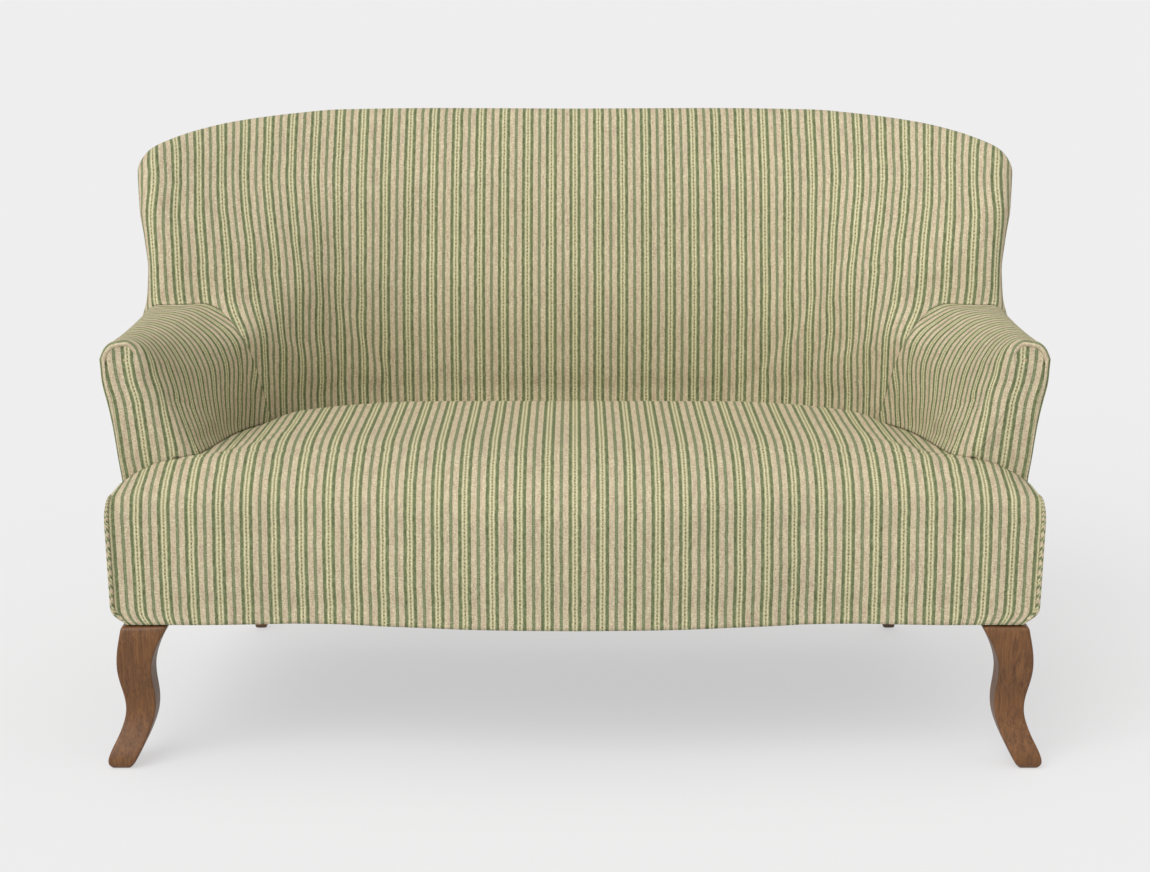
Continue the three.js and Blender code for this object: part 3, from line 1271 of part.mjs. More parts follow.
addPair('arm_lower_rail', armRail(SIDE_RAIL_HALF_WIDTH, sideRailTop + LOWER_ARM_RAIL_RISE), beech);
addPair('wing_post', beam(wingPostFoot, wingPostHead, WING_POST_THICKNESS, WING_POST_DEPTH), beech);
addPair('back_post', beam(postFoot, postHead, BACK_POST_WIDTH, BACK_POST_DEPTH), beech);
add('back_centre_post', backCentrePost(), beech);
add('back_top_rail', backTopRail(), beech);
add('back_lower_rail', backLowerRail(), beech);
websAcross().forEach((shape, i) => add(`back_web_across_${i + 1}`, shape, web));
uprightWebs().forEach((shape, i) => add(`back_web_upright_${i + 1}`, shape, web));
add('dust_cover', dustCover(), blackCloth);
addPair('front_leg', frontLeg(), stained);
addPair('rear_leg', rearLeg(), stained);
legBolts(LEG_BOLT_RADIUS).forEach((shape, i) => addPair(['front_leg_bolt', 'rear_leg_bolt'][i], shape, steel));

// The origin goes under the middle of the whole
const bounds = new THREE.Box3().setFromObject(assembly);
const middle = bounds.getCenter(new THREE.Vector3());
assembly.position.set(-middle.x, -middle.y, -bounds.min.z);

const settee = new THREE.Group();
settee.add(assembly);

export default settee;
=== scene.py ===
# The high back settee: its cloth, wood, light and camera. Lengths are in millimetres until a mesh is made.

from functools import cache
from math import acos, atan2, copysign, cos, hypot, pi, radians, sin, sqrt, tanh

import bmesh
import bpy
from mathutils import Matrix, Vector
from mathutils.kdtree import KDTree


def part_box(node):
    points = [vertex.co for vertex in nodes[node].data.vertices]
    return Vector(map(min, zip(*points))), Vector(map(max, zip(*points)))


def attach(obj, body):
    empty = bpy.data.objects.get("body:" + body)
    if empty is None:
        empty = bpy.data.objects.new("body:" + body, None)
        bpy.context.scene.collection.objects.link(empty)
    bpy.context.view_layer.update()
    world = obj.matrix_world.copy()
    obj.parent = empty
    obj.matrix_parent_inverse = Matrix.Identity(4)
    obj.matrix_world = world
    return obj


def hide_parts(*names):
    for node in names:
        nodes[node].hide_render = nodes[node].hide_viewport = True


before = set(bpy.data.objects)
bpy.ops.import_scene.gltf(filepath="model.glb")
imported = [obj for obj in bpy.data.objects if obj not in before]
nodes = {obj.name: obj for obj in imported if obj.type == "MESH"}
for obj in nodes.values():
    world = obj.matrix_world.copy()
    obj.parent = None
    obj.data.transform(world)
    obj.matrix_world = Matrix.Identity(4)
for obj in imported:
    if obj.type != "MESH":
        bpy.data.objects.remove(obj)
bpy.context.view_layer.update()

# Main sizes
SEAT_BOTTOM = 231
SEAT_HEIGHT = 495
ARM_HEIGHT = 667
BACK_HEIGHT = 986
WING_HALF_WIDTH = 758
EAR_HALF_WIDTH = 723
SEAT_DEPTH = 607
BACK_LEAN = 155
WING_REACH = 340
WING_ROLL_RADIUS = 30
TOP_ROLL_RADIUS = 54
CREVICE_DROP = 27
OUTSIDE_FOOT_DEPTH = 705
ARM_SETBACK = 118
ARM_INNER_RADIUS = 40
ARM_OUTER_RADIUS = 10
ARM_FOOT_HALF_WIDTH = 706
FRONT_BOW = 14
SERPENTINE_DEPTH = 41
CREST_RISE = 100
CREST_DEPTH = 215
FACE_SWELL = 9
EAR_FALL_WIDTH = 184
EAR_TUCK = 18
EAR_TUCK_HEIGHT = 22
EAR_TAPER = 4
EAR_LIFT = 34
EAR_LIFT_RADIUS = 14
SEAM_GAP = 0.8
CLOTH = 2
PANEL_GAP = 0.4
REAR_RAIL_FRONT = 654
PIPING_RADIUS = 3.5
LEG_SIZE = 50
LEG_CENTRE_DEPTH = 46
FRONT_LEG_HALF_SPREAD = 675
REAR_LEG_HALF_SPREAD = 600
REAR_LEG_DEPTH = 669
REAR_LEG_RAKE = 110
LEG_TOP = 230.7

# The plane from which depths are measured, behind the origin of the CAD frame
depth_shift = REAR_RAIL_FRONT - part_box("rear_rail")[0].y * 1000

# Shares of those sizes, as on the hard frame
LOWER_LEVEL_SHARES = [-0.087, 0.669]
UPPER_LEVEL_SHARES = [0.056, 0.29, 0.527, 0.668, 0.777, 0.887, 1.012]
LEAN_SHARES = [0, 0, 0.065, 0.226, 0.394, 0.548, 0.69, 0.832, 1]
STATION_SHARES = [0, 0.354, 0.442, 0.541, 0.629, 0.747, 0.865, 0.983]
REACH_SHARES = [
    [0, 0, 0.053, 0.168, 0.33, 0.662, 0.853, 1],
    [0, 0, 0.053, 0.168, 0.344, 0.653, 0.824, 0.97],
    [0, 0, 0.05, 0.162, 0.344, 0.482, 0.518, 0.541],
    [0, 0, 0.05, 0.135, 0.285, 0.429, 0.524, 0.579],
    [0, 0, 0.038, 0.097, 0.182, 0.312, 0.465, 0.612],
    [0, 0, 0.018, 0.05, 0.094, 0.188, 0.347, 0.559],
    [0, 0, 0.015, 0.035, 0.076, 0.15, 0.288, 0.456],
    [0, 0, 0.015, 0.041, 0.079, 0.141, 0.247, 0.412],
    [0, 0, 0.012, 0.035, 0.065, 0.118, 0.206, 0.324],
]
RIM_ACROSS_SHARES = [0.942, 0.93, 0.927, 0.936, 0.95, 0.963, 0.97, 0.963, 0.936, 0.882, 0.8, 0.65, 0.567, 0.29, 0]
RIM_RISE_SHARES = [
    -0.085, 0.034, 0.191, 0.351, 0.511, 0.636, 0.705, 0.734, 0.759, 0.787, 0.81, 0.832, 0.838, 0.837, 0.834,
]
RIM_GROWTH_SHARES = [0, 0, 0, 0, 0, 0, 0, 0.02, 0.12, 0.33, 0.58, 0.83, 0.93, 1, 1]
RIM_CORNER = 6
ARM_FRONT_ACROSS_SHARES = [0.786, 0.8206, 0.847, 0.864, 0.876, 0.897, 0.93, 0.9604, 0.98, 0.988]
ARM_FRONT_RISE_SHARES = [-0.1, 0.2035, 0.424, 0.64, 0.82, 0.942, 1, 0.977, 0.901, 0.808]
ARM_BACK_ACROSS_SHARES = [0.688, 0.703, 0.716, 0.738, 0.775, 0.834]
ARM_BACK_RISE_SHARES = [-0.145, 0.174, 0.436, 0.73, 0.922, 1.053]
ARM_ROUND_SHARES = [1, 1, 1, 0.95, 0.7, 0.3, 0, 0, 0, 0]
ARM_START_SLOPE_SHARES = [-0.25, -0.27, -0.3, -0.3, -0.25, -0.12, -0.05, -0.06, -0.08, -0.1]
ARM_END_SLOPE_SHARES = [-0.7, -0.66, -0.6, -0.55, -0.5, -0.35, -0.1, 0, 0.03, 0.03]
FACING_LEVEL_SHARES = [0, 0.52, 0.6, 0.68, 0.76, 0.84, 0.92, 1]
FACING_GAIN_SHARES = [0, 0.33, 0.44, 0.52, 0.6, 0.69, 0.89, 1]
ARM_APEX = 6
ARM_NUB = 9
SIDE_LEVEL_SHARES = [0, 0.5, 0.8, 1]
SIDE_WIDTH_SHARES = [0.9235, 0.943, 0.962, 0.9815]
SQUARENESS_SHARES = [10, 4.5, 2.4, 2.3]
SIDE_DIP_START = 0.84
SIDE_DIP_LENGTH = 0.1
REAR_DIP_START = 0.72
SWELL_SHARE = 0.6
CREST_SPACING = 2.4
ROLL_FOOT_POWER = 1.8
BACK_PANEL_SHARE = 0.83
OUTSIDE_RAKE_SHARE = 0.2
CREVICE_SHARE = 8 / 14
ROUND_PART_SHARE = 0.12
CREST_POWER = 2.7
EAR_PLACE_SHARES = [0, 0.2, 0.43, 0.66, 0.8, 0.88, 1]
EAR_FALL_SHARES = [1, 0.95, 0.87, 0.714, 0.5, 0.35, 0.065]
BOW_PLACE_SHARES = [0, 0.118, 0.226, 0.279, 0.333, 0.387, 0.442, 0.497, 0.605, 0.711, 0.818, 0.913, 1]
BOW_SHARES = [0, 0.05, 0.17, 0.29, 0.44, 0.56, 0.71, 0.9, 1, 0.88, 0.8, 0.83, 0.83]

# Legs, from the floor up
LEG_LEVEL_SHARES = [0, 0.03, 0.07, 0.14, 0.21, 0.3, 0.38, 0.48, 0.6, 0.7, 0.8, 0.89, 0.965, 1]
LEG_OUTER_SHARES = [1.1, 1.22, 1.23, 1.1, 0.92, 0.76, 0.67, 0.72, 0.86, 0.91, 0.88, 0.81, 0.74, 0.72]
LEG_INNER_SHARES = [0.54, 0.4, 0.3, 0.14, -0.02, -0.18, -0.26, -0.28, -0.2, -0.18, -0.3, -0.48, -0.7, -0.78]
LEG_FRONT_SHARES = [-0.84, -0.94, -0.96, -0.84, -0.7, -0.54, -0.44, -0.4, -0.54, -0.62, -0.66, -0.64, -0.58, -0.54]
LEG_BACK_SHARES = [-0.1, -0.02, 0.06, 0.22, 0.34, 0.46, 0.5, 0.46, 0.4, 0.42, 0.48, 0.6, 0.74, 0.8]
REAR_LEG_LEVEL_SHARES = [0, 0.06, 0.12, 0.26, 0.42, 0.6, 0.8, 1]
REAR_FOOT_WIDTH = 22
REAR_LEG_WIDTH = 44
REAR_LEG_SWEEP = 1.6
LEG_ROUND = 4

# The ticking, measured from its dotted line: one repeat, where its lines lie and half their widths
REPEAT = 42.54
CREAM_HALF = 5.2
GREEN_PLACE, GREEN_HALF, GREEN_EDGE_HALF = 7.45, 2.62, 3.7
THIRD_GREEN_HALF = 2.6
DOT_SPACING = 6

HANDS = (("right", 1), ("left", -1))


def clamp(value, low=0.0, high=1.0):
    return min(max(value, low), high)


def mix(start, end, share):
    return start + (end - start) * share


def ease(share):
    part = clamp(share)
    return part * part * (3 - 2 * part)


def widths(shares):
    return [share * WING_HALF_WIDTH for share in shares]


def span(shares, low=SEAT_HEIGHT, high=ARM_HEIGHT):
    """Sizes at shares of the way from a low one to a high one."""
    return [mix(low, high, share) for share in shares]


def steps(count, start=0.0, end=1.0):
    return [mix(start, end, i / count) for i in range(count + 1)]


def curve(places, values):
    """A smooth curve through places and values that never overshoots them."""
    rises = [(values[i + 1] - values[i]) / (places[i + 1] - places[i]) for i in range(len(places) - 1)]
    slopes = [rises[0]]
    for before, after in zip(rises, rises[1:]):
        slopes.append(2 * before * after / (before + after) if before * after > 0 else 0)
    slopes.append(rises[-1])

    def along(place):
        if place <= places[0]:
            return values[0]
        if place >= places[-1]:
            return values[-1] + slopes[-1] * (place - places[-1])
        i = 0
        while place > places[i + 1]:
            i += 1
        width = places[i + 1] - places[i]
        s = (place - places[i]) / width
        rise = values[i] * (1 + 2 * s) * (1 - s) ** 2 + values[i + 1] * (3 - 2 * s) * s * s
        return rise + width * (slopes[i] * s * (1 - s) ** 2 + slopes[i + 1] * (s - 1) * s * s)

    return along


def over_index(values):
    return curve(list(range(len(values))), values)


# The inside of back and wings

levels = span(LOWER_LEVEL_SHARES) + span(UPPER_LEVEL_SHARES, ARM_HEIGHT, BACK_HEIGHT)
lean_at = curve(levels, LEAN_SHARES)
reach_rows = [curve(STATION_SHARES, row) for row in REACH_SHARES]
CREVICE = SEAT_HEIGHT - CREVICE_DROP


@cache
def reach_at(across):
    return curve(levels, [row(across) for row in reach_rows])


@cache
def inside_depth(x, z):
    return SEAT_DEPTH + BACK_LEAN * lean_at(z) - WING_REACH * reach_at(abs(x) / WING_HALF_WIDTH)(z)


def inside_normal(x, z):
    across = (inside_depth(x + 1, z) - inside_depth(x - 1, z)) / 2
    rise = (inside_depth(x, z + 1) - inside_depth(x, z - 1)) / 2
    return Vector((across, -1, rise)).normalized()


def between(across, up, edges, corners):
    """A place, plan or elevation, between a foot, head, middle and side edge that meet in four corners."""
    foot, head, middle, side = edges
    shares = (1 - across) * (1 - up), across * (1 - up), (1 - across) * up, across * up
    return [
        (1 - up) * foot[k] + up * head[k] + (1 - across) * middle[k] + across * side[k]
        - sum(share * corner[k] for share, corner in zip(shares, corners))
        for k in (0, 1)
    ]


# The roll round wings and top

rim_across = widths(RIM_ACROSS_SHARES)
rim_rise = span(RIM_RISE_SHARES, ARM_HEIGHT, BACK_HEIGHT)
rim_radius = span(RIM_GROWTH_SHARES, WING_ROLL_RADIUS, TOP_ROLL_RADIUS)
rim_places = [0.0]
for i in range(1, len(rim_across)):
    rim_places.append(rim_places[-1] + hypot(rim_across[i] - rim_across[i - 1], rim_rise[i] - rim_rise[i - 1]))
RIM_END = rim_places[-1]
rim_x = curve(rim_places, rim_across)
rim_z = curve(rim_places, rim_rise)
rim_r = curve(rim_places, rim_radius)
RIM_CORNER_PLACE = rim_places[RIM_CORNER]
RIM_START = 30
RIM_SETTLE = 44
RIM_FOOT_SLOPE = 0.4


def rim_centre(place):
    x, z, radius = rim_x(place), rim_z(place), rim_r(place)
    normal = inside_normal(x, z)
    for _ in range(5):
        normal = inside_normal(x + normal.x * radius, z + normal.z * radius)
    front = inside_depth(x + normal.x * radius, z + normal.z * radius)
    return Vector((x, front - normal.y * radius, z)), normal, radius


@cache
def rim_frame(place):
    """The roll's middle, its front and outward directions, radius and turn. It runs straight into the arm."""
    if place < RIM_SETTLE:
        middle, front, out, radius, turn = rim_frame(RIM_SETTLE)
        low = Vector((rim_x(place), middle.y + RIM_FOOT_SLOPE * (place - RIM_SETTLE), rim_z(place)))
        return low, front, out, radius, turn
    middle, normal, radius = rim_centre(place)
    ahead = rim_centre(min(place + 1, RIM_END))[0]
    behind = rim_centre(max(place - 1, 0))[0]
    along = Vector((-1, 0, 0)) if place > RIM_END - 1 else (ahead - behind).normalized()
    front = (normal - along * normal.dot(along)).normalized()
    out = along.cross(front)
    steep = along.z ** 2
    plan = Vector((along.y, -along.x, 0)).normalized()
    end = plan * (1 - steep) + Vector((steep, 0, 0)) + Vector((0, 0, -(1 - steep) * OUTSIDE_RAKE_SHARE))
    return middle, front, out, radius, atan2(end.dot(out), end.dot(front))


def roll_point(place, part):
    middle, front, out, radius, turn = rim_frame(place)
    return middle + front * (radius * cos(turn * part)) + out * (radius * sin(turn * part))


def roll_start(part):
    return mix(RIM_START, 0, part ** ROLL_FOOT_POWER)


roll_foot = roll_point(RIM_START, 0)
arm_back_x = over_index(widths(ARM_BACK_ACROSS_SHARES) + [roll_foot.x])
arm_back_z = over_index(span(ARM_BACK_RISE_SHARES) + [roll_foot.z])


@cache
def back_foot(share):
    if share <= CREVICE_SHARE:
        part = share / CREVICE_SHARE
        return arm_back_x(0) * part, mix(CREVICE, arm_back_z(0), ease(part))
    index = (share - CREVICE_SHARE) / (1 - CREVICE_SHARE) * ARM_APEX
    return arm_back_x(index), arm_back_z(index)


def flat_of(place):
    front = roll_point(place, 0)
    return front.x, front.z


def inside_place(across, up):
    head_z = flat_of(RIM_END)[1]
    head, side = (flat_of(mix(end, RIM_CORNER_PLACE, s)) for end, s in ((RIM_END, across), (RIM_START, up)))
    edges = back_foot(across), head, (0, mix(CREVICE, head_z, up)), side
    return between(across, up, edges, ((0, CREVICE), back_foot(1.0), (0, head_z), flat_of(RIM_CORNER_PLACE)))


@cache
def inside_point(across, up):
    if across == 1:
        return roll_point(mix(RIM_START, RIM_CORNER_PLACE, up), 0)
    if up == 1:
        return roll_point(mix(RIM_END, RIM_CORNER_PLACE, across), 0)
    x, z = inside_place(across, up)
    return Vector((x, inside_depth(x, z), z))


# How far the cloth has run from the middle at a place on the inside, along a level line
LEVEL_STEP = 8.0
LEVEL_COLUMNS = 110
LOWEST_LEVEL = CREVICE - 80


@cache
def level_run(row):
    z = LOWEST_LEVEL + row * LEVEL_STEP
    run = [0.0]
    for i in range(LEVEL_COLUMNS):
        x = i * LEVEL_STEP
        run.append(run[-1] + hypot(LEVEL_STEP, inside_depth(x + LEVEL_STEP, z) - inside_depth(x, z)))
    return run


def cloth_run(x, z):
    row = (z - LOWEST_LEVEL) / LEVEL_STEP
    low = int(row)
    column = min(abs(x) / LEVEL_STEP, LEVEL_COLUMNS - 1.001)
    i = int(column)
    ends = [mix(level_run(r)[i], level_run(r)[i + 1], column - i) for r in (low, low + 1)]
    return mix(ends[0], ends[1], row - low)


# Arms, on the right side

arm_front_x = over_index(widths(ARM_FRONT_ACROSS_SHARES))
arm_front_z = over_index(span(ARM_FRONT_RISE_SHARES))
arm_round = over_index(span(ARM_ROUND_SHARES, ARM_OUTER_RADIUS, ARM_INNER_RADIUS))
arm_start_slope = over_index(ARM_START_SLOPE_SHARES)
arm_end_slope = over_index(ARM_END_SLOPE_SHARES)


@cache
def arm_inward(index):
    low, high = max(index - 0.01, 0), min(index + 0.01, ARM_NUB)
    across = arm_front_x(high) - arm_front_x(low)
    rise = arm_front_z(high) - arm_front_z(low)
    square = Vector((rise, 0, -across)).normalized()
    return Vector((1, 0, 0)).lerp(square, ease(index)).normalized()


@cache
def arm_back(index):
    if index > ARM_APEX:
        part = (index - ARM_APEX) / (ARM_NUB - ARM_APEX)
        return roll_point(roll_start(part), part)
    if index == ARM_APEX:
        return roll_foot
    x, z = arm_back_x(index), arm_back_z(index)
    return Vector((x, inside_depth(x, z), z))


def arm_point(index, share):
    start = Vector((arm_front_x(index), ARM_SETBACK + arm_round(index), arm_front_z(index)))
    end = arm_back(index)
    length = end.y - start.y
    s = share
    return (
        start * ((1 + 2 * s) * (1 - s) ** 2)
        + Vector((arm_start_slope(index), 1, 0)) * (length * s * (1 - s) ** 2)
        + end * ((3 - 2 * s) * s * s)
        + Vector((arm_end_slope(index), 1, 0)) * (length * (s - 1) * s * s)
    )


def arm_round_point(index, turn):
    angle, radius = turn * pi / 2, arm_round(index)
    start = Vector((arm_front_x(index), ARM_SETBACK + radius * (1 - cos(angle)), arm_front_z(index)))
    return start + arm_inward(index) * (radius * (1 - sin(angle)))


facing_gain = curve(FACING_LEVEL_SHARES, FACING_GAIN_SHARES)


def facing_outer_x(z):
    share = (z - SEAT_BOTTOM) / (arm_front_z(ARM_NUB) - SEAT_BOTTOM)
    return mix(ARM_FOOT_HALF_WIDTH, arm_front_x(ARM_NUB), facing_gain(clamp(share)))


# Outside of arms, wings and back

outer_start = roll_point(0, 1)
outer_corner = roll_point(RIM_CORNER_PLACE, 1)
outer_middle = roll_point(RIM_END, 1)
wing_edges = [roll_point(RIM_CORNER_PLACE * s, 1) for s in steps(12)]
wing_edge_depth = curve([p.z for p in wing_edges], [p.y for p in wing_edges])
wing_edge_x = curve([p.z for p in wing_edges], [p.x for p in wing_edges])
side_x = curve(span(SIDE_LEVEL_SHARES, SEAT_BOTTOM, outer_start.z), widths(SIDE_WIDTH_SHARES))
squareness = curve([SEAT_BOTTOM, outer_start.z, outer_corner.z, outer_middle.z], SQUARENESS_SHARES)


@cache
def outside_plan(z):
    level = clamp(z, outer_start.z, outer_corner.z)
    start = wing_edge_depth(level)
    rear = mix(OUTSIDE_FOOT_DEPTH, outer_middle.y, (z - SEAT_BOTTOM) / (outer_middle.z - SEAT_BOTTOM))
    half = side_x(z) if z < outer_start.z else wing_edge_x(level)
    return half, start, rear - start, squareness(z)


def outside_base(around, z):
    half, start, reach, power = outside_plan(z)
    seam = acos(BACK_PANEL_SHARE ** (power / 2))
    across = cos(around * seam) ** (2 / power) if around <= 1 else BACK_PANEL_SHARE * (2 - around)
    back = max(1 - across ** power, 0) ** (1 / power)
    return Vector((half * across, start + reach * back, z))


def around_of(place):
    half, start, reach, power = outside_plan(place.z)
    across, back = place.x / half, max(place.y - start, 0) / reach
    share = across / (across ** power + back ** power) ** (1 / power)
    if share < BACK_PANEL_SHARE:
        return 2 - share / BACK_PANEL_SHARE
    return acos(min(share, 1) ** (power / 2)) / acos(BACK_PANEL_SHARE ** (power / 2))


top_edges = [roll_point(mix(RIM_CORNER_PLACE, RIM_END, s), 1) for s in steps(24)]
top_around = [around_of(p) if i else 0 for i, p in enumerate(top_edges)]
top_height = curve(top_around, [p.z for p in top_edges])
top_shift = [
    curve(top_around, [p[k] - outside_base(a, p.z)[k] for a, p in zip(top_around, top_edges)]) for k in (0, 1)
]


def outside_point(around, z):
    share = ease((z - outer_start.z) / (top_height(around) - outer_start.z)) ** 2
    return outside_base(around, z) + Vector((top_shift[0](around) * share, top_shift[1](around) * share, 0))


# Seat

bow = curve(BOW_PLACE_SHARES, BOW_SHARES)
SEAT_EDGE = SEAT_HEIGHT - CREST_RISE
EAR_START = EAR_HALF_WIDTH - EAR_FALL_WIDTH


@cache
def front_plan(x):
    return SERPENTINE_DEPTH * bow(abs(x) / EAR_HALF_WIDTH) - FRONT_BOW


def crest(way):
    rest = clamp(1 - way / CREST_DEPTH)
    return (1 - rest ** CREST_POWER) ** (1 / CREST_POWER)


def ear_share(x):
    return clamp((abs(x) - EAR_START) / EAR_FALL_WIDTH)


ear_profile = curve(EAR_PLACE_SHARES, EAR_FALL_SHARES)


def ear_fall(x):
    return ear_profile(ear_share(x))


def ear_lift(x, way):
    """The ear's outer end stands up square, with a small round at its front."""
    return EAR_LIFT * ear_share(x) ** 3 * sqrt(1 - (1 - clamp(way / EAR_LIFT_RADIUS)) ** 2)


def crest_height(x, way):
    return SEAT_EDGE + CREST_RISE * crest(way) * ear_fall(x) + ear_lift(x, way)


def ear_edge(depth):
    """The height of the ear's outer edge at a depth."""
    return crest_height(EAR_HALF_WIDTH, depth - front_plan(EAR_HALF_WIDTH))


def ear_tuck(x, z):
    low = clamp(1 - (z - SEAT_BOTTOM) / EAR_TUCK_HEIGHT)
    taper = clamp(1 - (z - SEAT_BOTTOM) / (SEAT_EDGE - SEAT_BOTTOM))
    end = ear_share(x) ** 2
    return copysign(end * (EAR_TUCK * low ** 2 + EAR_TAPER * taper), x)


def swell(x, z):
    across = 1 - ease(abs(x) / (EAR_HALF_WIDTH * SWELL_SHARE))
    return FACE_SWELL * across * ease((z - SEAT_BOTTOM) / (SEAT_EDGE - SEAT_BOTTOM))


def face_point(x, z):
    return Vector((x - ear_tuck(x, z), front_plan(x) - swell(x, z), z))


def crest_point(x, share):
    way = (ARM_SETBACK - SEAM_GAP - front_plan(x)) * share ** CREST_SPACING
    z = crest_height(x, way)
    return Vector((x, front_plan(x) + way - swell(x, min(z, SEAT_EDGE)) * (1 - share) ** 2, z))


@cache
def seat_side(share):
    if share < ROUND_PART_SHARE:
        place = arm_round_point(0.0, share / ROUND_PART_SHARE)
    else:
        place = arm_point(0.0, (share - ROUND_PART_SHARE) / (1 - ROUND_PART_SHARE))
    return place + Vector((-SEAM_GAP, -SEAM_GAP * (1 - share), 0))


@cache
def seat_rear(share):
    x, z = back_foot(share * CREVICE_SHARE)
    return Vector((x, inside_depth(x, z) - SEAM_GAP, z))


def seat_top_point(across, back):
    side, rear, inner = seat_side(back), seat_rear(across), seat_side(0.0).x
    front_y = ARM_SETBACK - SEAM_GAP
    edges = (inner * across, front_y), rear, (0, mix(front_y, seat_rear(0.0).y, back)), side
    x, y = between(across, back, edges, ((0, front_y), (inner, front_y), seat_rear(0.0), seat_rear(1.0)))
    way = y - front_plan(x)
    level = mix(crest_height(x, way), SEAT_EDGE + CREST_RISE * crest(way), back)
    side_dip = ease((across - SIDE_DIP_START) / (1 - SIDE_DIP_START)) * ease(back / SIDE_DIP_LENGTH)
    rear_dip = ease((back - REAR_DIP_START) / (1 - REAR_DIP_START))
    dipped = mix(level, side.z, side_dip)
    return Vector((x, y, mix(dipped, mix(rear.z, side.z, side_dip), rear_dip)))


# Making pieces. Points as close as WELD, in metres, are one.

WELD = 0.00004
STUFFING_FRAMES = 16


def metres(place):
    return Vector((place[0], place[1] - depth_shift, place[2])) / 1000


def running(places):
    """How far each place lies along a line of places."""
    run = [0.0]
    for before, after in zip(places, places[1:]):
        run.append(run[-1] + (after - before).length)
    return run


def rounded(place):
    """A place in the scene to the nearest millimetre, by which seams find their points."""
    return round(place.x * 1000), round(place.y * 1000 + depth_shift), round(place.z * 1000)


def placed(name, data):
    """A new object, in the scene."""
    thing = bpy.data.objects.new(name, data)
    bpy.context.scene.collection.objects.link(thing)
    return thing


def woven_form():
    form = bmesh.new()
    form.loops.layers.uv.new("weave")
    return form


def spread(form, across, up, place, weave):
    """Lays a grid on a surface. place gives the point, weave how far along and up the cloth it lies."""
    weave_layer = form.loops.layers.uv.verify()
    made = bmesh.ops.create_grid(form, x_segments=len(across) - 1, y_segments=len(up) - 1, size=1)["verts"]
    shares = {}
    for vert in made:
        i = round((vert.co.x + 1) / 2 * (len(across) - 1))
        j = round((vert.co.y + 1) / 2 * (len(up) - 1))
        shares[vert] = i, j
    for vert, (i, j) in shares.items():
        vert.co = metres(place(across[i], up[j]))
    for face in {face for vert in made for face in vert.link_faces}:
        for loop in face.loops:
            i, j = shares[loop.vert]
            run = weave(across[i], up[j])
            loop[weave_layer].uv = run[0] / 1000, run[1] / 1000


def doubled(form):
    """Adds the left half. Its cloth runs the other way, so its weave isn't a mirror image."""
    weave_layer = form.loops.layers.uv.verify()
    everything = form.verts[:] + form.edges[:] + form.faces[:]
    bmesh.ops.mirror(form, geom=everything, matrix=Matrix(), merge_dist=-1, axis="X")
    left = [face for face in form.faces if face.calc_center_median().x < 0]
    bmesh.ops.reverse_faces(form, faces=left)
    for face in left:
        for loop in face.loops:
            loop[weave_layer].uv.x = -loop[weave_layer].uv.x


def on_side(form, side):
    """Turns a right-hand form into a left-hand one where the side is -1."""
    if side < 0:
        bmesh.ops.scale(form, vec=(-1, 1, 1), verts=form.verts)
        bmesh.ops.reverse_faces(form, faces=form.faces)


def piece_of(name, form, finish):
    bmesh.ops.remove_doubles(form, verts=form.verts, dist=WELD)
    mesh = bpy.data.meshes.new(name)
    form.to_mesh(mesh)
    form.free()
    mesh.materials.append(finish)
    for face in mesh.polygons:
        face.use_smooth = True
    piece = placed(name, mesh)
    return piece


def rims(mesh):
    """The points on the open edges of a mesh."""
    uses = {}
    for face in mesh.polygons:
        for key in face.edge_keys:
            uses[key] = uses.get(key, 0) + 1
    return {k for key, count in uses.items() if count == 1 for k in key}


def stuffed(piece, play, margin, seams=()):
    """Fills a cover from behind: it starts a little slack, and pressure draws it tight between its seams.

    play is how far it starts behind its place, and the most that it ends in front of it.
    """
    mesh = piece.data
    held = rims(mesh) | set(seams)
    tree = KDTree(len(held))
    for k in held:
        tree.insert(mesh.vertices[k].co, k)
    tree.balance()
    start = [vert.co.copy() for vert in mesh.vertices]
    away = [ease(tree.find(place)[2] * 1000 / margin) for place in start]
    normals = [vert.normal.copy() for vert in mesh.vertices]
    for vert, share, normal in zip(mesh.vertices, away, normals):
        vert.co -= normal * (play / 1000 * share)
    pins = piece.vertex_groups.new(name="held")
    for vert, share in zip(mesh.vertices, away):
        pins.add([vert.index], mix(1.0, 0.02, share), "REPLACE")
    cloth = piece.modifiers.new("stuffing", "CLOTH")
    settings = cloth.settings
    settings.quality, settings.mass = 4, 0.4
    settings.tension_stiffness = settings.compression_stiffness = 12
    settings.shear_stiffness, settings.bending_stiffness = 4, 0.3
    settings.vertex_group_mass, settings.pin_stiffness = "held", 1
    settings.use_pressure, settings.uniform_pressure_force = True, 4
    settings.effector_weights.gravity = 0
    cloth.collision_settings.use_collision = False
    cloth.point_cache.frame_start, cloth.point_cache.frame_end = 1, STUFFING_FRAMES
    for number in range(1, STUFFING_FRAMES + 1):
        bpy.context.scene.frame_set(number)
    shaped = piece.evaluated_get(bpy.context.evaluated_depsgraph_get()).data
    ends = [vert.co.copy() for vert in shaped.vertices]
    piece.modifiers.remove(cloth)
    piece.vertex_groups.remove(pins)
    bpy.context.scene.frame_set(1)
    for vert, first, end, share in zip(mesh.vertices, start, ends, away):
        move = end - first
        length = move.length * 1000
        cap = play * share
        vert.co = first + move * (cap * tanh(length / cap) / length if length > 1e-6 and cap > 1e-3 else 0)
    mesh.update()


def finished(piece, replaces, subdivide=1, thickness=CLOTH):
    """Rounds the piece, gives the cloth its thickness and lets it stand for its CAD nodes."""
    if subdivide:
        rounding = piece.modifiers.new("rounding", "SUBSURF")
        rounding.levels = rounding.render_levels = subdivide
        rounding.boundary_smooth = "PRESERVE_CORNERS"
    if thickness:
        wall = piece.modifiers.new("cloth", "SOLIDIFY")
        wall.thickness = thickness / 1000
        wall.offset = -1
    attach(piece, "root")
    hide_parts(*replaces)


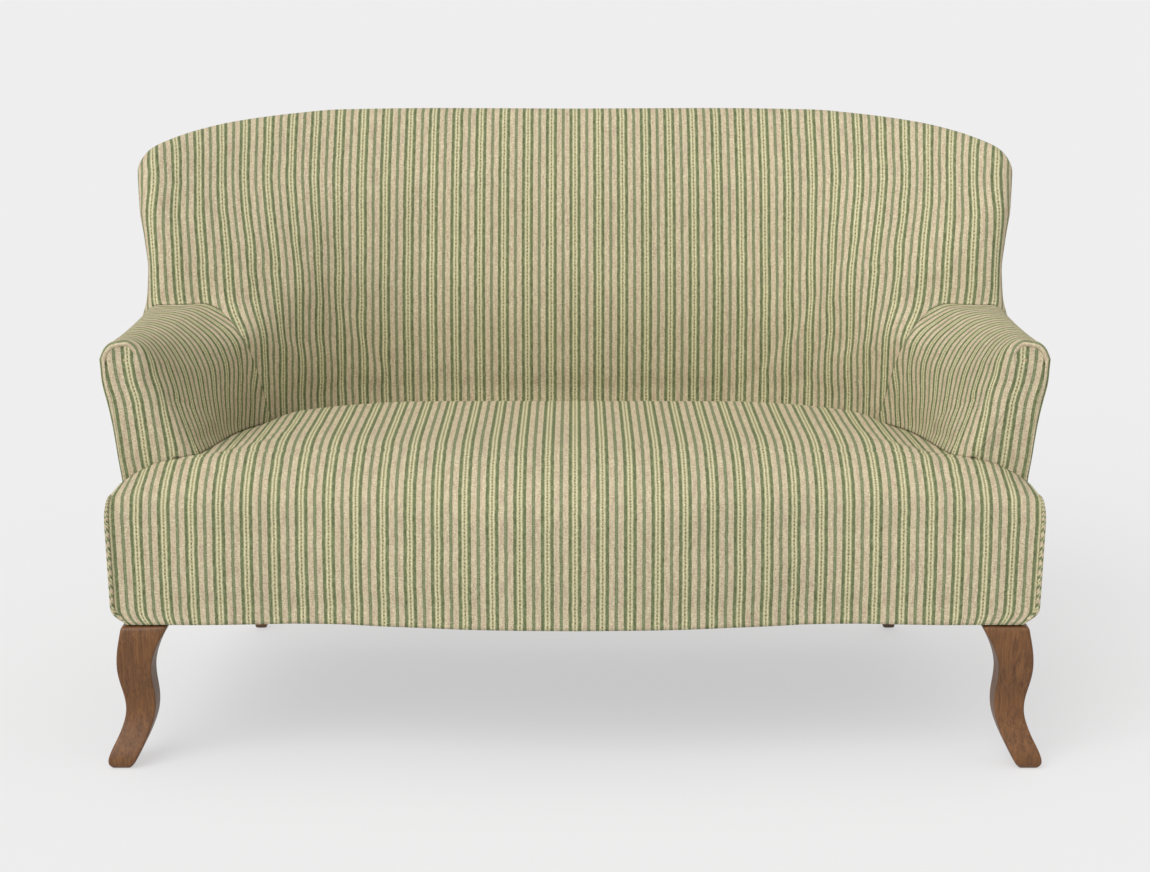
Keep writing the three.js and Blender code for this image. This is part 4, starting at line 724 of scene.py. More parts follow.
def padded_cover(name, form, replaces, play=0, margin=0, seams=(), thickness=CLOTH):
    """A piece in the striped cloth with its padding right behind it."""
    piece = piece_of(name, form, LINEN)
    if play:
        stuffed(piece, play, margin, [v.index for v in piece.data.vertices if rounded(v.co) in seams])
    finished(piece, replaces, thickness=thickness)


# Materials

class Signal:
    """An output of a material that sums can be made with."""

    def __init__(self, finish, socket):
        self.finish, self.socket = finish, socket

    def maths(self, operation, *others, clamped=False):
        values = {i: value for i, value in enumerate((self, *others))}
        return self.finish.node("Math", {"operation": operation, "use_clamp": clamped}, values)

    def __add__(self, other):
        return self.maths("ADD", other)

    __radd__ = __add__

    def __mul__(self, other):
        return self.maths("MULTIPLY", other)

    __rmul__ = __mul__

    def __sub__(self, other):
        return self.maths("SUBTRACT", other)

    def __rsub__(self, other):
        return (self * -1) + other

    def __truediv__(self, other):
        return self.maths("DIVIDE", other)

    def fraction(self):
        return self.maths("FRACT")

    def size(self):
        return self.maths("ABSOLUTE")

    def within(self):
        return self.maths("ADD", 0.0, clamped=True)

    def near(self, middle, half, soft):
        """1 within half of the middle, and 0 from soft beyond it."""
        return ((half + soft / 2 - (self - middle).size()) / soft).within()


class Finish:
    """A material while it is made."""

    def __init__(self, name, **constants):
        self.material = bpy.data.materials.new(name)
        self.material.use_nodes = True
        self.tree = self.material.node_tree
        self.shader = self.tree.nodes["Principled BSDF"]
        for socket, value in constants.items():
            self.shader.inputs[socket.replace("_", " ").title().replace("Ior", "IOR")].default_value = value

    def node(self, kind, settings, values, output=0):
        node = self.tree.nodes.new("ShaderNode" + kind)
        for key, value in settings.items():
            setattr(node, key, value)
        for key, value in values.items():
            if isinstance(value, Signal):
                self.tree.links.new(value.socket, node.inputs[key])
            else:
                node.inputs[key].default_value = value
        return Signal(self, node.outputs[output])

    def blend(self, first, second, share):
        return self.node("Mix", {"data_type": "RGBA"}, {0: share, 6: first, 7: second}, output=2)

    def vector(self, x, y, z=0.0):
        return self.node("CombineXYZ", {}, {0: x, 1: y, 2: z})

    def apart(self, place, count):
        """The first parts of a place, in millimetres."""
        return [self.node("SeparateXYZ", {}, {0: place}, output=k) * 1000 for k in range(count)]

    def object_place(self):
        return self.apart(self.node("TexCoord", {}, {}, output=3), 3)

    def ripple(self, x, y, z=0.0, detail=2, rough=0.5):
        """A soft unevenness round 0 that changes over steps of about 1."""
        place = self.vector(x, y, z)
        return self.node("TexNoise", {}, {"Vector": place, "Scale": 1, "Detail": detail, "Roughness": rough}) - 0.5

    def seen(self):
        """1 where the camera looks, straight, in a mirror or through glass."""
        straight, mirrored, through = (
            self.node("LightPath", {}, {}, output="Is %s Ray" % way) for way in ("Camera", "Glossy", "Transmission")
        )
        return (straight + mirrored + through).within()

    def lay(self, socket, value):
        self.tree.links.new(value.socket, self.shader.inputs[socket])

    def bump(self, height, strength, distance):
        self.lay("Normal", self.node("Bump", {}, {"Height": height, "Strength": strength, "Distance": distance}))


def tone(*values):
    """A colour from its red, green and blue on a screen, 11 to 255."""
    return tuple(((value / 255 + 0.055) / 1.055) ** 2.4 for value in values) + (1.0,)


def striped_linen():
    """Ticking: a dotted line, two green lines and a third green line in each repeat, on beige linen."""
    f = Finish("striped_linen", roughness=0.93, specular_ior_level=0.2)
    across, up = f.apart(f.node("UVMap", {"uv_map": "weave"}, {}), 2)

    def thread(width, length, detail=2, rough=0.5):
        return f.ripple(across / width, up / length, detail=detail, rough=rough)

    sway = thread(55, 17, 1)
    fuzz = thread(1.7, 3.2, 2, 0.7)
    long_thread = thread(1.1, 7)
    cross_thread = thread(9, 1.1)
    grain = thread(1.5, 1.9, 2, 0.7)
    knots = thread(3.1, 3.3, 1)
    patch = thread(6, 10)
    cloudy = thread(90, 120)
    pink = (thread(5.5, 26) * 3.4 + 0.35).within()
    slub = (thread(26, 1.2, 1) * 9 - 1.85).within()

    run = (across + sway * 1.5 + fuzz * 1.9) / REPEAT
    off = ((run + 0.5).fraction() - 0.5).size() * REPEAT
    main_green = off.near(GREEN_PLACE, GREEN_HALF, 1.1)
    third_green = off.near(REPEAT / 2, THIRD_GREEN_HALF, 1.2)
    cream_band = off.near(0, CREAM_HALF, 1.0)
    edge_light = off.near(GREEN_PLACE, GREEN_EDGE_HALF, 0.8)
    lining = off.near(CREAM_HALF / 2, 0.8, 0.9)

    beige = f.blend(tone(205, 191, 160), tone(191, 171, 145), pink)
    beige = f.blend(beige, tone(216, 203, 166), edge_light * 0.5)
    cream = f.blend(tone(181, 176, 136), tone(214, 207, 170), lining)
    ground = f.blend(beige, cream, cream_band)

    beat = (up / DOT_SPACING + sway * 0.6).fraction() - 0.5
    dots = off.near(0, 1.0, 0.8) * (beat * DOT_SPACING).size().near(0, 1.5, 1.0)
    ground = f.blend(ground, tone(108, 88, 60), dots * (patch * 1.6 + 0.8).within())

    deep = (patch * 2.6 + 0.5).within()
    green = f.blend(tone(120, 132, 94), tone(88, 99, 66), deep)
    pale_green = f.blend(tone(128, 140, 104), tone(96, 109, 76), deep)
    links = off.near(REPEAT / 2, 0.9, 0.8) * ((up / 2.9).fraction() - 0.5).size().near(0, 0.2, 0.25)
    pale_green = f.blend(pale_green, tone(178, 180, 136), links * (patch * 2.5 + 0.35).within())
    colour = f.blend(ground, green, main_green * 0.96)
    colour = f.blend(colour, pale_green, third_green * 0.94)
    colour = f.blend(colour, tone(228, 217, 176), slub * 0.5)

    shade = 0.98 + grain * 0.9 + knots * 0.75 + long_thread * 0.5 + cross_thread * 0.75 + cloudy * 0.14
    shades = f.vector(shade, shade, shade)
    multiply = {"data_type": "RGBA", "blend_type": "MULTIPLY"}
    f.lay("Base Color", f.node("Mix", multiply, {0: 1.0, 6: colour, 7: shades}, output=2))
    f.bump(grain * 0.5 + long_thread * 0.3 + cross_thread * 0.4 + slub * 0.5 - main_green * 0.15, 0.55, 0.0007)
    return f.material


def stained_wood():
    """Brown stained and polished hardwood, with its grain along the leg."""
    f = Finish("stained_wood", roughness=0.42, specular_ior_level=0.4)
    x, y, z = f.object_place()
    bend = f.ripple(x / 60, y / 60, z / 90)
    rings = f.ripple(x / 6 + bend * 4, y / 6 + bend * 4, z / 120, 4, 0.7)
    streaks = f.ripple(x / 1.9 + bend * 6, y / 1.9 + bend * 6, z / 60, 3, 0.6)
    pores = (f.ripple(x / 0.8, y / 0.8, z / 11) * 5 - 0.35).within()
    colour = f.blend(tone(86, 54, 28), tone(126, 84, 46), (rings * 2.4 + streaks * 1.6 + 0.5).within())
    f.lay("Base Color", f.blend(colour, tone(64, 41, 22), pores * 0.75))
    f.lay("Roughness", 0.42 + pores * 0.25 + rings * 0.1)
    f.bump(rings * 0.4 + streaks * 0.3 - pores, 0.3, 0.0004)
    return f.material


def planed_beech():
    """Bare beech, with its grain along the rails and short dark flecks."""
    f = Finish("planed_beech", roughness=0.62, specular_ior_level=0.3)
    x, y, z = f.object_place()
    rings = f.ripple(x / 60, y / 12, z / 12, 4, 0.6)
    flecks = (f.ripple(x / 5, y / 1.2, z / 1.2) * 5 - 0.6).within()
    colour = f.blend(tone(196, 160, 116), tone(222, 190, 146), (rings * 2 + 0.5).within())
    f.lay("Base Color", f.blend(colour, tone(160, 118, 80), flecks * 0.5))
    f.bump(rings - flecks * 0.5, 0.2, 0.0003)
    return f.material


def plain_weave(name, light, dark, pitch):
    """A loose plain weave on a flat or gently bent piece."""
    f = Finish(name, roughness=0.95, specular_ior_level=0.15)
    x, y, z = f.object_place()
    warp = ((x / pitch).fraction() - 0.5).size() * 2
    weft = (((y + z) / pitch).fraction() - 0.5).size() * 2
    raised = warp * weft + f.ripple(x / 9, y / 9, z / 9, 3) * 0.5
    f.lay("Base Color", f.blend(light, dark, (raised * 1.3).within()))
    f.bump(raised * -1, 0.5, 0.0006)
    return f.material


def drawn_wire():
    """Bright spring wire with a faint mottle."""
    f = Finish("drawn_wire", roughness=0.38, metallic=1.0)
    x, y, z = f.object_place()
    mottle = f.ripple(x / 6.25, y / 6.25, z / 6.25, 3)
    f.lay("Base Color", f.blend(tone(138, 142, 148), tone(170, 173, 178), (mottle * 2 + 0.5).within()))
    f.lay("Roughness", 0.38 + mottle * 0.3)
    return f.material


LINEN = striped_linen()
STAINED = stained_wood()
BEECH = planed_beech()
HESSIAN = plain_weave("hessian", tone(176, 150, 106), tone(112, 90, 56), 2.4)
WEBBING = plain_weave("webbing", tone(170, 152, 112), tone(112, 94, 62), 1.8)
DUST_CLOTH = plain_weave("dust_cloth", tone(40, 40, 42), tone(20, 20, 22), 1.2)
WIRE = drawn_wire()

# Camera: its lens and film width, how far in front of the settee's front, how high and how far it looks down

LENS, FILM_WIDTH = 70.1, 36
CAMERA_REACH, CAMERA_HEIGHT, CAMERA_TILT = 3346.4, 1242.5, 11.9

camera = placed("camera", bpy.data.cameras.new("camera"))
camera.data.lens, camera.data.sensor_width = LENS, FILM_WIDTH
camera.location = metres((0, -CAMERA_REACH, CAMERA_HEIGHT))
camera.rotation_euler = (radians(90 - CAMERA_TILT), 0, 0)
bpy.context.scene.camera = camera

# Inside of the back

BACK_COLUMNS, BACK_ROWS, ROLL_STEPS = 84, 44, 12


def inside_weave(across, up):
    place = inside_point(across, up)
    return cloth_run(place.x, place.z), place.z


def roll_weave(place, part):
    """The cloth goes on over the roll in the direction in which it leaves the front."""
    front = roll_point(place, 0)
    _, _, out, radius, turn = rim_frame(place)
    run = abs(turn) * radius * part
    return cloth_run(front.x, front.z) + run * out.x, front.z + run * out.z


def settee_back():
    form = woven_form()
    across, up = steps(BACK_COLUMNS), steps(BACK_ROWS)
    spread(form, across, up, inside_point, inside_weave)

    def roll_over(shares, start, end):
        """Lays the cloth over a length of the roll. start gives where it begins at each part of the turn."""
        spread(form, steps(ROLL_STEPS), shares, lambda part, share: roll_point(mix(start(part), end, share), part),
               lambda part, share: roll_weave(mix(start(part), end, share), part))

    roll_over(up, roll_start, RIM_CORNER_PLACE)
    roll_over(across, lambda _: RIM_CORNER_PLACE, RIM_END)
    doubled(form)
    padded_cover("back", form, ["back_cover", "back_pad", "edge_roll"], play=3, margin=70)


settee_back()

# Seat

FACE_ROWS, CREST_ROWS, SEAT_COLUMNS, EAR_COLUMNS, SEAT_ROWS = 14, 18, 52, 16, 40
CREST_LENGTH = hypot(CREST_RISE, ARM_SETBACK) * 1.08


def settee_seat():
    form = woven_form()
    inner = seat_side(0.0).x
    columns = [inner * s for s in steps(SEAT_COLUMNS)]
    columns += [mix(inner, EAR_HALF_WIDTH, sin(s * pi / 2)) for s in steps(EAR_COLUMNS)[1:]]

    def strip_point(x, level):
        if level <= 1:
            return face_point(x, mix(SEAT_BOTTOM, SEAT_EDGE, level))
        return crest_point(x, level - 1)

    def strip_weave(x, level):
        if level <= 1:
            return x, mix(SEAT_BOTTOM, SEAT_EDGE, level)
        return x, SEAT_EDGE + CREST_LENGTH * (level - 1)

    rows = steps(FACE_ROWS) + [1 + s for s in steps(CREST_ROWS)[1:]]
    spread(form, columns, rows, strip_point, strip_weave)

    def top_weave(across, back):
        place = seat_top_point(across, back)
        return place.x, SEAT_EDGE + CREST_LENGTH + place.y - ARM_SETBACK

    spread(form, steps(SEAT_COLUMNS), steps(SEAT_ROWS), seat_top_point, top_weave)
    doubled(form)
    padded_cover("seat", form, ["seat_cover", "seat_pad"], play=3, margin=60)


settee_seat()

# Arms

ARM_STEPS, ROUND_STEPS, ALONG_STEPS, FACING_COLUMNS, FACING_LOWER, FACING_UPPER = 72, 8, 40, 18, 24, 34
# Where the seam over the arm starts, how far it takes to draw in, and how deep and how far inwards it then lies
SEAM_INDEX, SEAM_EASE, SEAM_DEPTH, SEAM_DRAW = 5.2, 1.2, 2.6, 1.2
EDGE_TURN = 6
EDGE_WIDENS_FROM = 0.88
ARM_GAP = 0.5
# The level at which the facing's outer edge reaches the arm's nub, the share of its height from which it closes
# on it, and how far inside the edge the first stripe lies
NUB_LEVEL, NUB_FROM = 1.74, 0.975
STRIPE_INSET = 3


def edge_turn(share):
    """How wide the outer edge turns at a share of the facing's height. At the top it is as wide as the arm's."""
    return mix(EDGE_TURN, ARM_OUTER_RADIUS, ease((share - EDGE_WIDENS_FROM) / (1 - EDGE_WIDENS_FROM)))


def facing_edge(index):
    """The edge between facing and arm. Over the arm it is a seam, drawn in a little."""
    drawn = ease((index - SEAM_INDEX + SEAM_EASE) / SEAM_EASE)
    return arm_round_point(index, 0) + Vector((0, SEAM_DEPTH * drawn, 0)) + arm_inward(index) * (SEAM_DRAW * drawn)


def facing_side(level):
    """The inner edge of the facing, from the seat's bottom (0) to the seat (1) and on over the arm."""
    if level < 1:
        low = arm_round_point(0.0, 0)
        return Vector((low.x, ARM_SETBACK, mix(SEAT_BOTTOM, low.z, level)))
    return facing_edge((level - 1) * ARM_APEX)


def facing_outer(level):
    """The outer edge at the same level, which meets the inner one at the top of the arm."""
    nub = facing_edge(ARM_NUB)
    if level < NUB_LEVEL:
        share = level / NUB_LEVEL
        z = mix(SEAT_BOTTOM, nub.z, share)
        last = ease((share - NUB_FROM) / (1 - NUB_FROM))
        side = facing_outer_x(z) - edge_turn(share)
        return Vector((mix(side, nub.x, last), mix(ARM_SETBACK, nub.y, last), z))
    return facing_edge(mix(ARM_NUB, ARM_APEX, (level - NUB_LEVEL) / (2 - NUB_LEVEL)))


def facing_run(place):
    """How far the cloth has run at a place on the facing, from its outer edge inwards."""
    low = min(place.z, arm_front_z(ARM_NUB))
    return facing_outer_x(low) - EDGE_TURN - place.x + STRIPE_INSET


def arm_piece(hand, side):
    form = woven_form()
    levels_up = steps(FACING_LOWER) + [1 + s for s in steps(FACING_UPPER)[1:]]

    def facing_point(share, level):
        return facing_side(level).lerp(facing_outer(level), share)

    def facing_weave(share, level):
        place = facing_point(share, level)
        return facing_run(place), place.z

    spread(form, steps(FACING_COLUMNS), levels_up, facing_point, facing_weave)
    indices = steps(ARM_STEPS, 0.0, ARM_NUB)
    length = arm_back(0.0).y - ARM_SETBACK
    shares = [("turn", s) for s in steps(ROUND_STEPS)[:-1]] + [("along", s) for s in steps(ALONG_STEPS)]

    def sweep_point(share, index):
        kind, part = share
        if kind == "turn":
            return arm_round_point(index, part) if part else facing_edge(index)
        return arm_point(index, part * (1 - ARM_GAP / length))

    rows = [[sweep_point(share, index) for share in shares] for index in indices]
    over = running([row[-1] for row in rows])
    runs = {}
    for index, row, up in zip(indices, rows, over):
        edge = facing_run(arm_round_point(min(index, SEAM_INDEX), 0))
        for share, run in zip(shares, running(row)):
            runs[share, index] = edge + run, arm_front_z(0) + up
    spread(form, shares[::-1], indices, sweep_point, lambda share, index: runs[share, index])
    on_side(form, side)
    edges = (facing_edge(index) for index in indices if index > SEAM_INDEX)
    seam = {rounded(metres((side * edge.x, edge.y, edge.z))) for edge in edges}
    replaces = ["arm_cover_" + hand, "arm_pad_" + hand]
    padded_cover("arm_" + hand, form, replaces, play=2.5, margin=28, seams=seam)


for hand, side in HANDS:
    arm_piece(hand, side)

# Dust cover: black cloth stapled under the frame and cut out round the legs

DUST_EDGE, DUST_SAG, DUST_DROP = 10, 4, 0.8
DUST_COLUMNS, NOTCH_COLUMNS, NOTCH_STEP, DUST_ROWS = 44, 4, 0.5, 24
DUST_HALF_WIDTH = SIDE_WIDTH_SHARES[0] * WING_HALF_WIDTH - DUST_EDGE


def dust_cloth():
    form = woven_form()
    front_notch, rear_notch = FRONT_LEG_HALF_SPREAD - LEG_SIZE, REAR_LEG_HALF_SPREAD - LEG_SIZE
    columns = [(x, "between") for x in steps(DUST_COLUMNS, 0, rear_notch)]
    columns += [(x, "beside") for x in steps(NOTCH_COLUMNS, rear_notch + NOTCH_STEP, front_notch)]
    columns += [(x, "outside") for x in steps(NOTCH_COLUMNS, front_notch + NOTCH_STEP, DUST_HALF_WIDTH)]

    def under_point(column, share):
        x, part = column
        front = LEG_CENTRE_DEPTH + LEG_SIZE if part == "outside" else front_plan(x) + DUST_EDGE
        rear = OUTSIDE_FOOT_DEPTH - DUST_EDGE if part == "between" else REAR_LEG_DEPTH - LEG_SIZE
        sag = clamp(1 - (x / rear_notch) ** 2) * (1 - (2 * share - 1) ** 2)
        return Vector((x, mix(front, rear, share), SEAT_BOTTOM - DUST_DROP - DUST_SAG * sag))

    spread(form, columns, steps(DUST_ROWS), under_point,
           lambda column, share: (column[0], under_point(column, share).y))
    doubled(form)
    bmesh.ops.reverse_faces(form, faces=form.faces)
    piece = piece_of("dust_cloth", form, DUST_CLOTH)
    finished(piece, ["dust_cover"], subdivide=0, thickness=1)


dust_cloth()

# Outside panels

CORNER_COLUMNS, SIDE_COLUMNS, TURN_COLUMNS, LOWER_ROWS, UPPER_ROWS, REAR_COLUMNS = 30, 22, 4, 30, 30, 40
TURN_INSET = 0.6


def outside_arm(hand, side):
    form = woven_form()
    corner = [("corner", s * (1 - SEAM_GAP / OUTSIDE_FOOT_DEPTH)) for s in steps(CORNER_COLUMNS)]
    columns = [("turn", s) for s in steps(TURN_COLUMNS)[:-1]]
    columns += [("side", s) for s in steps(SIDE_COLUMNS)[:-1]] + corner

    def lower_point(column, share):
        kind, part = column
        if kind == "corner":
            return outside_point(part, mix(SEAT_BOTTOM, outer_start.z - SEAM_GAP, share))
        if kind == "turn":
            z = mix(SEAT_BOTTOM, arm_front_z(ARM_NUB) - PANEL_GAP, share)
            angle = part * pi / 2
            bulge = edge_turn(share) - TURN_INSET
            return Vector((facing_outer_x(z) - bulge * (1 - sin(angle)), ARM_SETBACK + bulge * (1 - cos(angle)), z))
        edge = arm_point(ARM_NUB, part)
        z = mix(SEAT_BOTTOM, edge.z - SEAM_GAP, share)
        start = outside_point(0, min(z, outer_start.z))
        x = mix(facing_outer_x(z), start.x, part)
        return Vector((mix(x, edge.x, ease(share) ** 12), mix(ARM_SETBACK + edge_turn(share), start.y, part), z))

    def upper_point(column, share):
        around = column[1]
        return outside_point(around, mix(outer_start.z - SEAM_GAP, top_height(around) - SEAM_GAP, share))

    def runs_of(places, rows, point, upright):
        """How far the cloth has run at each point. It equals the depth where the cloth hangs upright."""
        runs = {}
        for share in rows:
            row = [point(column, share) for column in places]
            run = running(row)
            for column, part in zip(places, run):
                runs[column, share] = part - run[upright] + row[upright].y
        return runs

    lower_rows, upper_rows = steps(LOWER_ROWS), steps(UPPER_ROWS)
    lower_runs = runs_of(columns, lower_rows, lower_point, TURN_COLUMNS)
    upper_runs = runs_of(corner, upper_rows, upper_point, 0)
    shift = lower_runs[corner[0], lower_rows[-1]] - upper_runs[corner[0], upper_rows[0]]
    spread(form, columns, lower_rows, lower_point,
           lambda column, share: (lower_runs[column, share], lower_point(column, share).z))
    spread(form, corner, upper_rows, upper_point,
           lambda column, share: (upper_runs[column, share] + shift, upper_point(column, share).z))
    on_side(form, side)
    piece = piece_of("outside_arm_" + hand, form, LINEN)
    finished(piece, ["outside_arm_panel_" + hand])


for hand, side in HANDS:
    outside_arm(hand, side)


def outside_back():
    form = woven_form()
    columns = steps(REAR_COLUMNS, 1 + SEAM_GAP / OUTSIDE_FOOT_DEPTH, 2.0)
    level = outer_start.z - SEAM_GAP

    def rear_point(around, share):
        if share < 1:
            return outside_point(around, mix(SEAT_BOTTOM, level, share))
        return outside_point(around, mix(level, top_height(around) - SEAM_GAP, share - 1))

    def rear_weave(around, share):
        place = rear_point(around, share)
        return -place.x, place.z

    rows = steps(LOWER_ROWS) + [1 + s for s in steps(UPPER_ROWS)[1:]]
    spread(form, columns, rows, rear_point, rear_weave)
    doubled(form)
    piece = piece_of("outside_back", form, LINEN)
    finished(piece, ["outside_back_panel"])


outside_back()

# Ears: side faces and piping

# How far the side face turns in to the arm at its rear edge, and how far it stays behind the ear's front
EAR_RETURN, EAR_SIDE_INSET = 28, 0.5
EAR_SIDE_COLUMNS, RETURN_COLUMNS, EAR_SIDE_ROWS = 16, 8, 22


def ear_side(hand, side):
    form = woven_form()
    front = front_plan(EAR_HALF_WIDTH) + EAR_SIDE_INSET
    back = ARM_SETBACK - 1
    inner = ARM_FOOT_HALF_WIDTH - 2 * EDGE_TURN

    def side_point(run, share):
        """A point at a run back along the side, and round its rear edge to the arm."""
        depth = min(front + run, back)
        z = mix(SEAT_BOTTOM, ear_edge(depth) - CLOTH - PANEL_GAP, share)
        outer = EAR_HALF_WIDTH - ear_tuck(EAR_HALF_WIDTH, z)
        return Vector((mix(outer, inner, clamp((run - back + front) / EAR_RETURN)), depth, z))

    length = back - front
    runs = steps(EAR_SIDE_COLUMNS, 0, length - 1.5) + steps(RETURN_COLUMNS, length, length + EAR_RETURN)
    spread(form, runs, steps(EAR_SIDE_ROWS), side_point, lambda run, share: (front + run, side_point(run, share).z))
    on_side(form, side)
    padded_cover("ear_side_" + hand, form, ["seat_side_panel_" + hand])


for hand, side in HANDS:
    ear_side(hand, side)

# Piping on the ears, cut on the bias: it begins in a small pleat on top and follows the corner down

PIPING_ROWS, PIPING_SIDES = 80, 14
PIPING_OUT = (PIPING_RADIUS + 0.2) * sqrt(0.5)
PLEAT_LENGTH = 44
# The cord starts just above the seat's bottom edge, and its end curls in under the corner
PIPING_START, PIPING_CURL = 7, 7
# Its thickness at its lower end and at the end of the pleat, and how its cloth runs for each step round and along
PIPING_END, PIPING_TIP = 0.75, 0.35
BIAS_ACROSS, BIAS_ALONG = 0.9, 0.7


def ear_piping(hand, side):
    form = woven_form()
    corner_depth = front_plan(EAR_HALF_WIDTH)

    def middle(level):
        """The cord's middle, from the bottom (0) to the top of the corner (1) and on into the pleat (2)."""
        z = mix(SEAT_BOTTOM + PIPING_START, SEAT_EDGE, min(level, 1))
        if level <= 1:
            under = PIPING_CURL * (1 - ease((z - SEAT_BOTTOM - PIPING_START) / (3 * PIPING_CURL)))
            x = EAR_HALF_WIDTH - ear_tuck(EAR_HALF_WIDTH, z) + PIPING_OUT - under
            return Vector((x, corner_depth - PIPING_OUT + under / 2, z))
        back = PLEAT_LENGTH * (level - 1)
        depth = corner_depth + back ** 2 / (back + PLEAT_LENGTH)
        x = EAR_HALF_WIDTH + PIPING_OUT * (1 - 1.6 * ease(level - 1))
        return Vector((x, depth - PIPING_OUT, max(ear_edge(depth), z) + PIPING_OUT * (level - 1)))

    def cord_point(around, level):
        angle = around * 2 * pi
        ahead = (middle(min(level + 0.01, 2)) - middle(max(level - 0.01, 0))).normalized()
        across = ahead.cross(Vector((0, -1, 0))).normalized()
        radius = PIPING_RADIUS * mix(PIPING_END, 1, ease(level * 40)) * mix(1, PIPING_TIP, ease(level - 1))
        return middle(level) + across * (radius * sin(angle)) + across.cross(ahead) * (radius * cos(angle))

    def cord_weave(around, level):
        round_run, long_run = around * 2 * pi * PIPING_RADIUS, level * (SEAT_EDGE - SEAT_BOTTOM)
        return (long_run - round_run) * BIAS_ACROSS, (long_run + round_run) * BIAS_ALONG

    spread(form, steps(PIPING_SIDES), steps(PIPING_ROWS, 0.0, 2.0), cord_point, cord_weave)
    bmesh.ops.remove_doubles(form, verts=form.verts, dist=WELD)
    bmesh.ops.holes_fill(form, edges=[e for e in form.edges if e.is_boundary], sides=0)
    bmesh.ops.recalc_face_normals(form, faces=form.faces)
    on_side(form, side)
    padded_cover("ear_piping_" + hand, form, ["seat_piping_" + hand], thickness=0)


for hand, side in HANDS:
    ear_piping(hand, side)

# Legs. Each ring of a leg is its near inner corner, its far outer corner and its height.

def leg(name, side, rings, node):
    """Grows a leg from its sole up, one ring at a time, and rounds its long edges."""
    form = bmesh.new()

    def set_ring(verts, ring):
        low, high, z = ring
        centre = sum((v.co.copy() for v in verts), Vector()) / 4
        for vert in verts:
            x = low[0] if vert.co.x < centre.x else high[0]
            y = low[1] if vert.co.y < centre.y else high[1]
            vert.co = metres((x, y, z))

    set_ring(bmesh.ops.create_grid(form, x_segments=1, y_segments=1, size=1)["verts"], rings[0])
    top = form.faces[:]
    for ring in rings[1:]:
        made = bmesh.ops.extrude_face_region(form, geom=top)["geom"]
        set_ring([e for e in made if isinstance(e, bmesh.types.BMVert)], ring)
        if ring is not rings[1]:
            bmesh.ops.delete(form, geom=[f for f in top if f.is_valid], context="FACES_ONLY")
        top = [e for e in made if isinstance(e, bmesh.types.BMFace)]
    bmesh.ops.recalc_face_normals(form, faces=form.faces)
    # The edges that climb the leg, and those round its sole
    long_edges = [e for e in form.edges if abs(e.verts[0].co.z - e.verts[1].co.z) > 0.002]
    ends = [e for e in form.edges if max(v.co.z for v in e.verts) < 0.001]
    bmesh.ops.bevel(form, geom=long_edges + ends, offset=LEG_ROUND / 1000, offset_type="OFFSET", segments=3,
                    profile=0.5, affect="EDGES", material=-1)
    on_side(form, side)
    piece = piece_of(name, form, STAINED)
    finished(piece, [node], subdivide=2, thickness=0)


def front_leg_rings():
    x = FRONT_LEG_HALF_SPREAD
    shares = LEG_INNER_SHARES, LEG_FRONT_SHARES, LEG_OUTER_SHARES, LEG_BACK_SHARES
    rings = []
    for level, *sides in zip(LEG_LEVEL_SHARES, *shares):
        inner, fore, outer, back = (LEG_SIZE * side for side in sides)
        rings.append(((x + inner, LEG_CENTRE_DEPTH + fore), (x + outer, LEG_CENTRE_DEPTH + back), LEG_TOP * level))
    return rings


def rear_leg_rings():
    x = REAR_LEG_HALF_SPREAD
    rings = []
    for level in REAR_LEG_LEVEL_SHARES:
        half = mix(REAR_FOOT_WIDTH, REAR_LEG_WIDTH, level) / 2
        depth = REAR_LEG_DEPTH + REAR_LEG_RAKE * (1 - level) ** REAR_LEG_SWEEP
        rings.append(((x - half, depth - half), (x + half, depth + half), LEG_TOP * level))
    return rings


for hand, side in HANDS:
    leg("front_leg_wood_" + hand, side, front_leg_rings(), "front_leg_" + hand)
    leg("rear_leg_wood_" + hand, side, rear_leg_rings(), "rear_leg_" + hand)

# The hidden frame keeps its solids. The first of these words that a solid's name holds gives its finish.

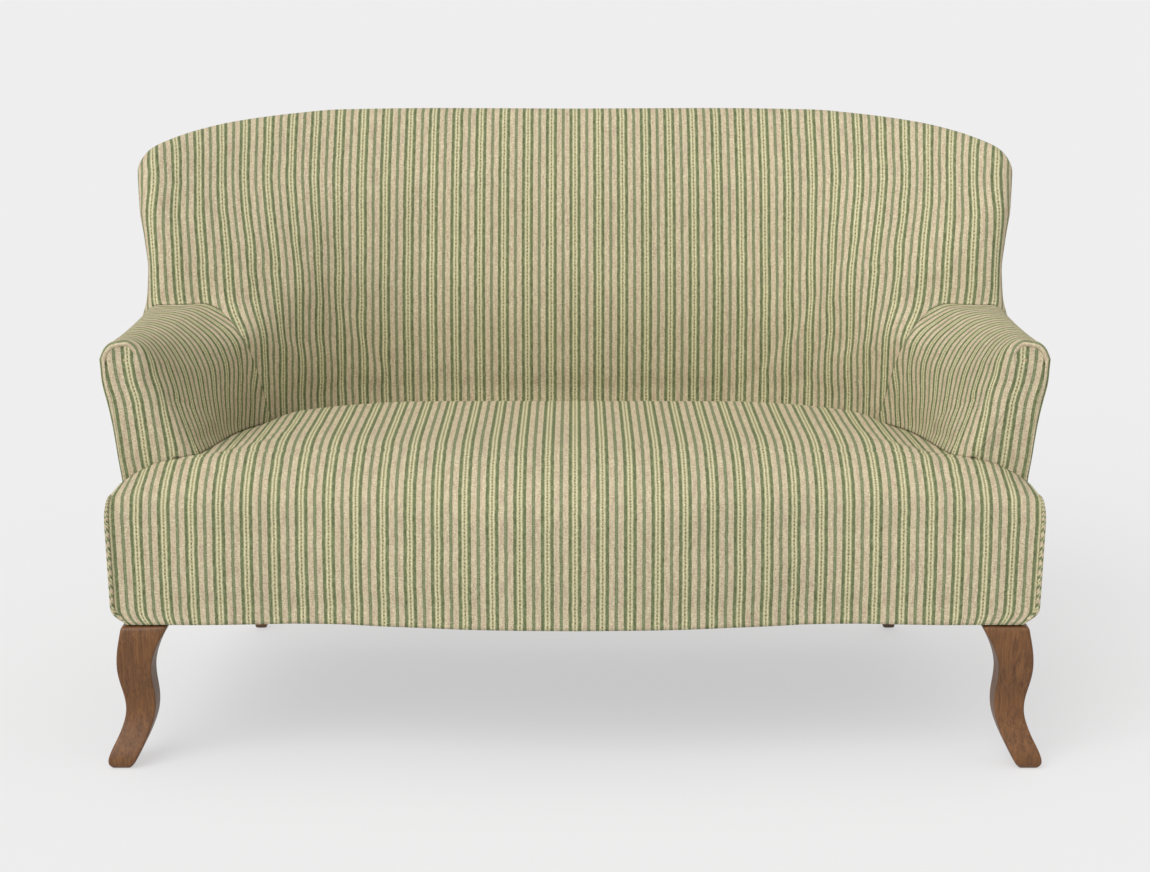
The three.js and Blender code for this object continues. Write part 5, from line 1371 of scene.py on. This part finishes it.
looks = {
    "rail": BEECH, "block": BEECH, "post": BEECH, "stretcher": BEECH,
    "spring": WIRE, "bolt": WIRE, "hessian": HESSIAN, "web": WEBBING,
}
for name, node in nodes.items():
    for word, look in looks.items():
        if word in name:
            node.data.materials.clear()
            node.data.materials.append(look)
            break

# Floor, light and background

FLOOR_HALF_SIZE = 200
FLOOR_SEEN_SHARE = 0.62
SKY_STRENGTH, SKY_SEEN_STRENGTH = 0.42, 0.85

floor = placed("floor", bpy.data.meshes.new("floor"))
form = bmesh.new()
bmesh.ops.create_grid(form, x_segments=1, y_segments=1, size=FLOOR_HALF_SIZE)
form.to_mesh(floor.data)
form.free()
paper = Finish("paper", base_color=tone(233, 233, 234), roughness=1.0, specular_ior_level=0.0)
glow = paper.node("Emission", {}, {"Color": tone(241, 240, 240)})
plain = Signal(paper, paper.shader.outputs[0])
joined = paper.node("MixShader", {}, {0: paper.seen() * FLOOR_SEEN_SHARE, 1: plain, 2: glow})
paper.tree.links.new(joined.socket, paper.tree.nodes["Material Output"].inputs[0])
floor.data.materials.append(paper.material)


def sun(name, strength, spread_angle, elevation, azimuth):
    """A soft light from a height and side, in degrees. At azimuth 0 it comes straight from the front."""
    light = placed(name, bpy.data.lights.new(name, "SUN"))
    light.data.energy, light.data.angle = strength, radians(spread_angle)
    level = cos(radians(elevation))
    toward = Vector((sin(radians(azimuth)) * level, -cos(radians(azimuth)) * level, sin(radians(elevation))))
    light.rotation_euler = toward.to_track_quat("Z", "Y").to_euler()


sun("key", strength=1.8, spread_angle=50, elevation=42, azimuth=-34)
sun("top", strength=0.7, spread_angle=90, elevation=75, azimuth=0)


class Surround(Finish):
    """The world's own light. The camera sees it as pale as the floor."""

    def __init__(self, name, strength, seen_strength):
        world = bpy.data.worlds.new(name)
        world.use_nodes = True
        bpy.context.scene.world = world
        self.tree = world.node_tree
        self.shader = self.tree.nodes["Background"]
        self.shader.inputs["Color"].default_value = (1, 1, 1, 1)
        self.lay("Strength", strength + self.seen() * (seen_strength - strength))


Surround("studio", SKY_STRENGTH, SKY_SEEN_STRENGTH)
bpy.context.scene.view_settings.view_transform = "Standard"
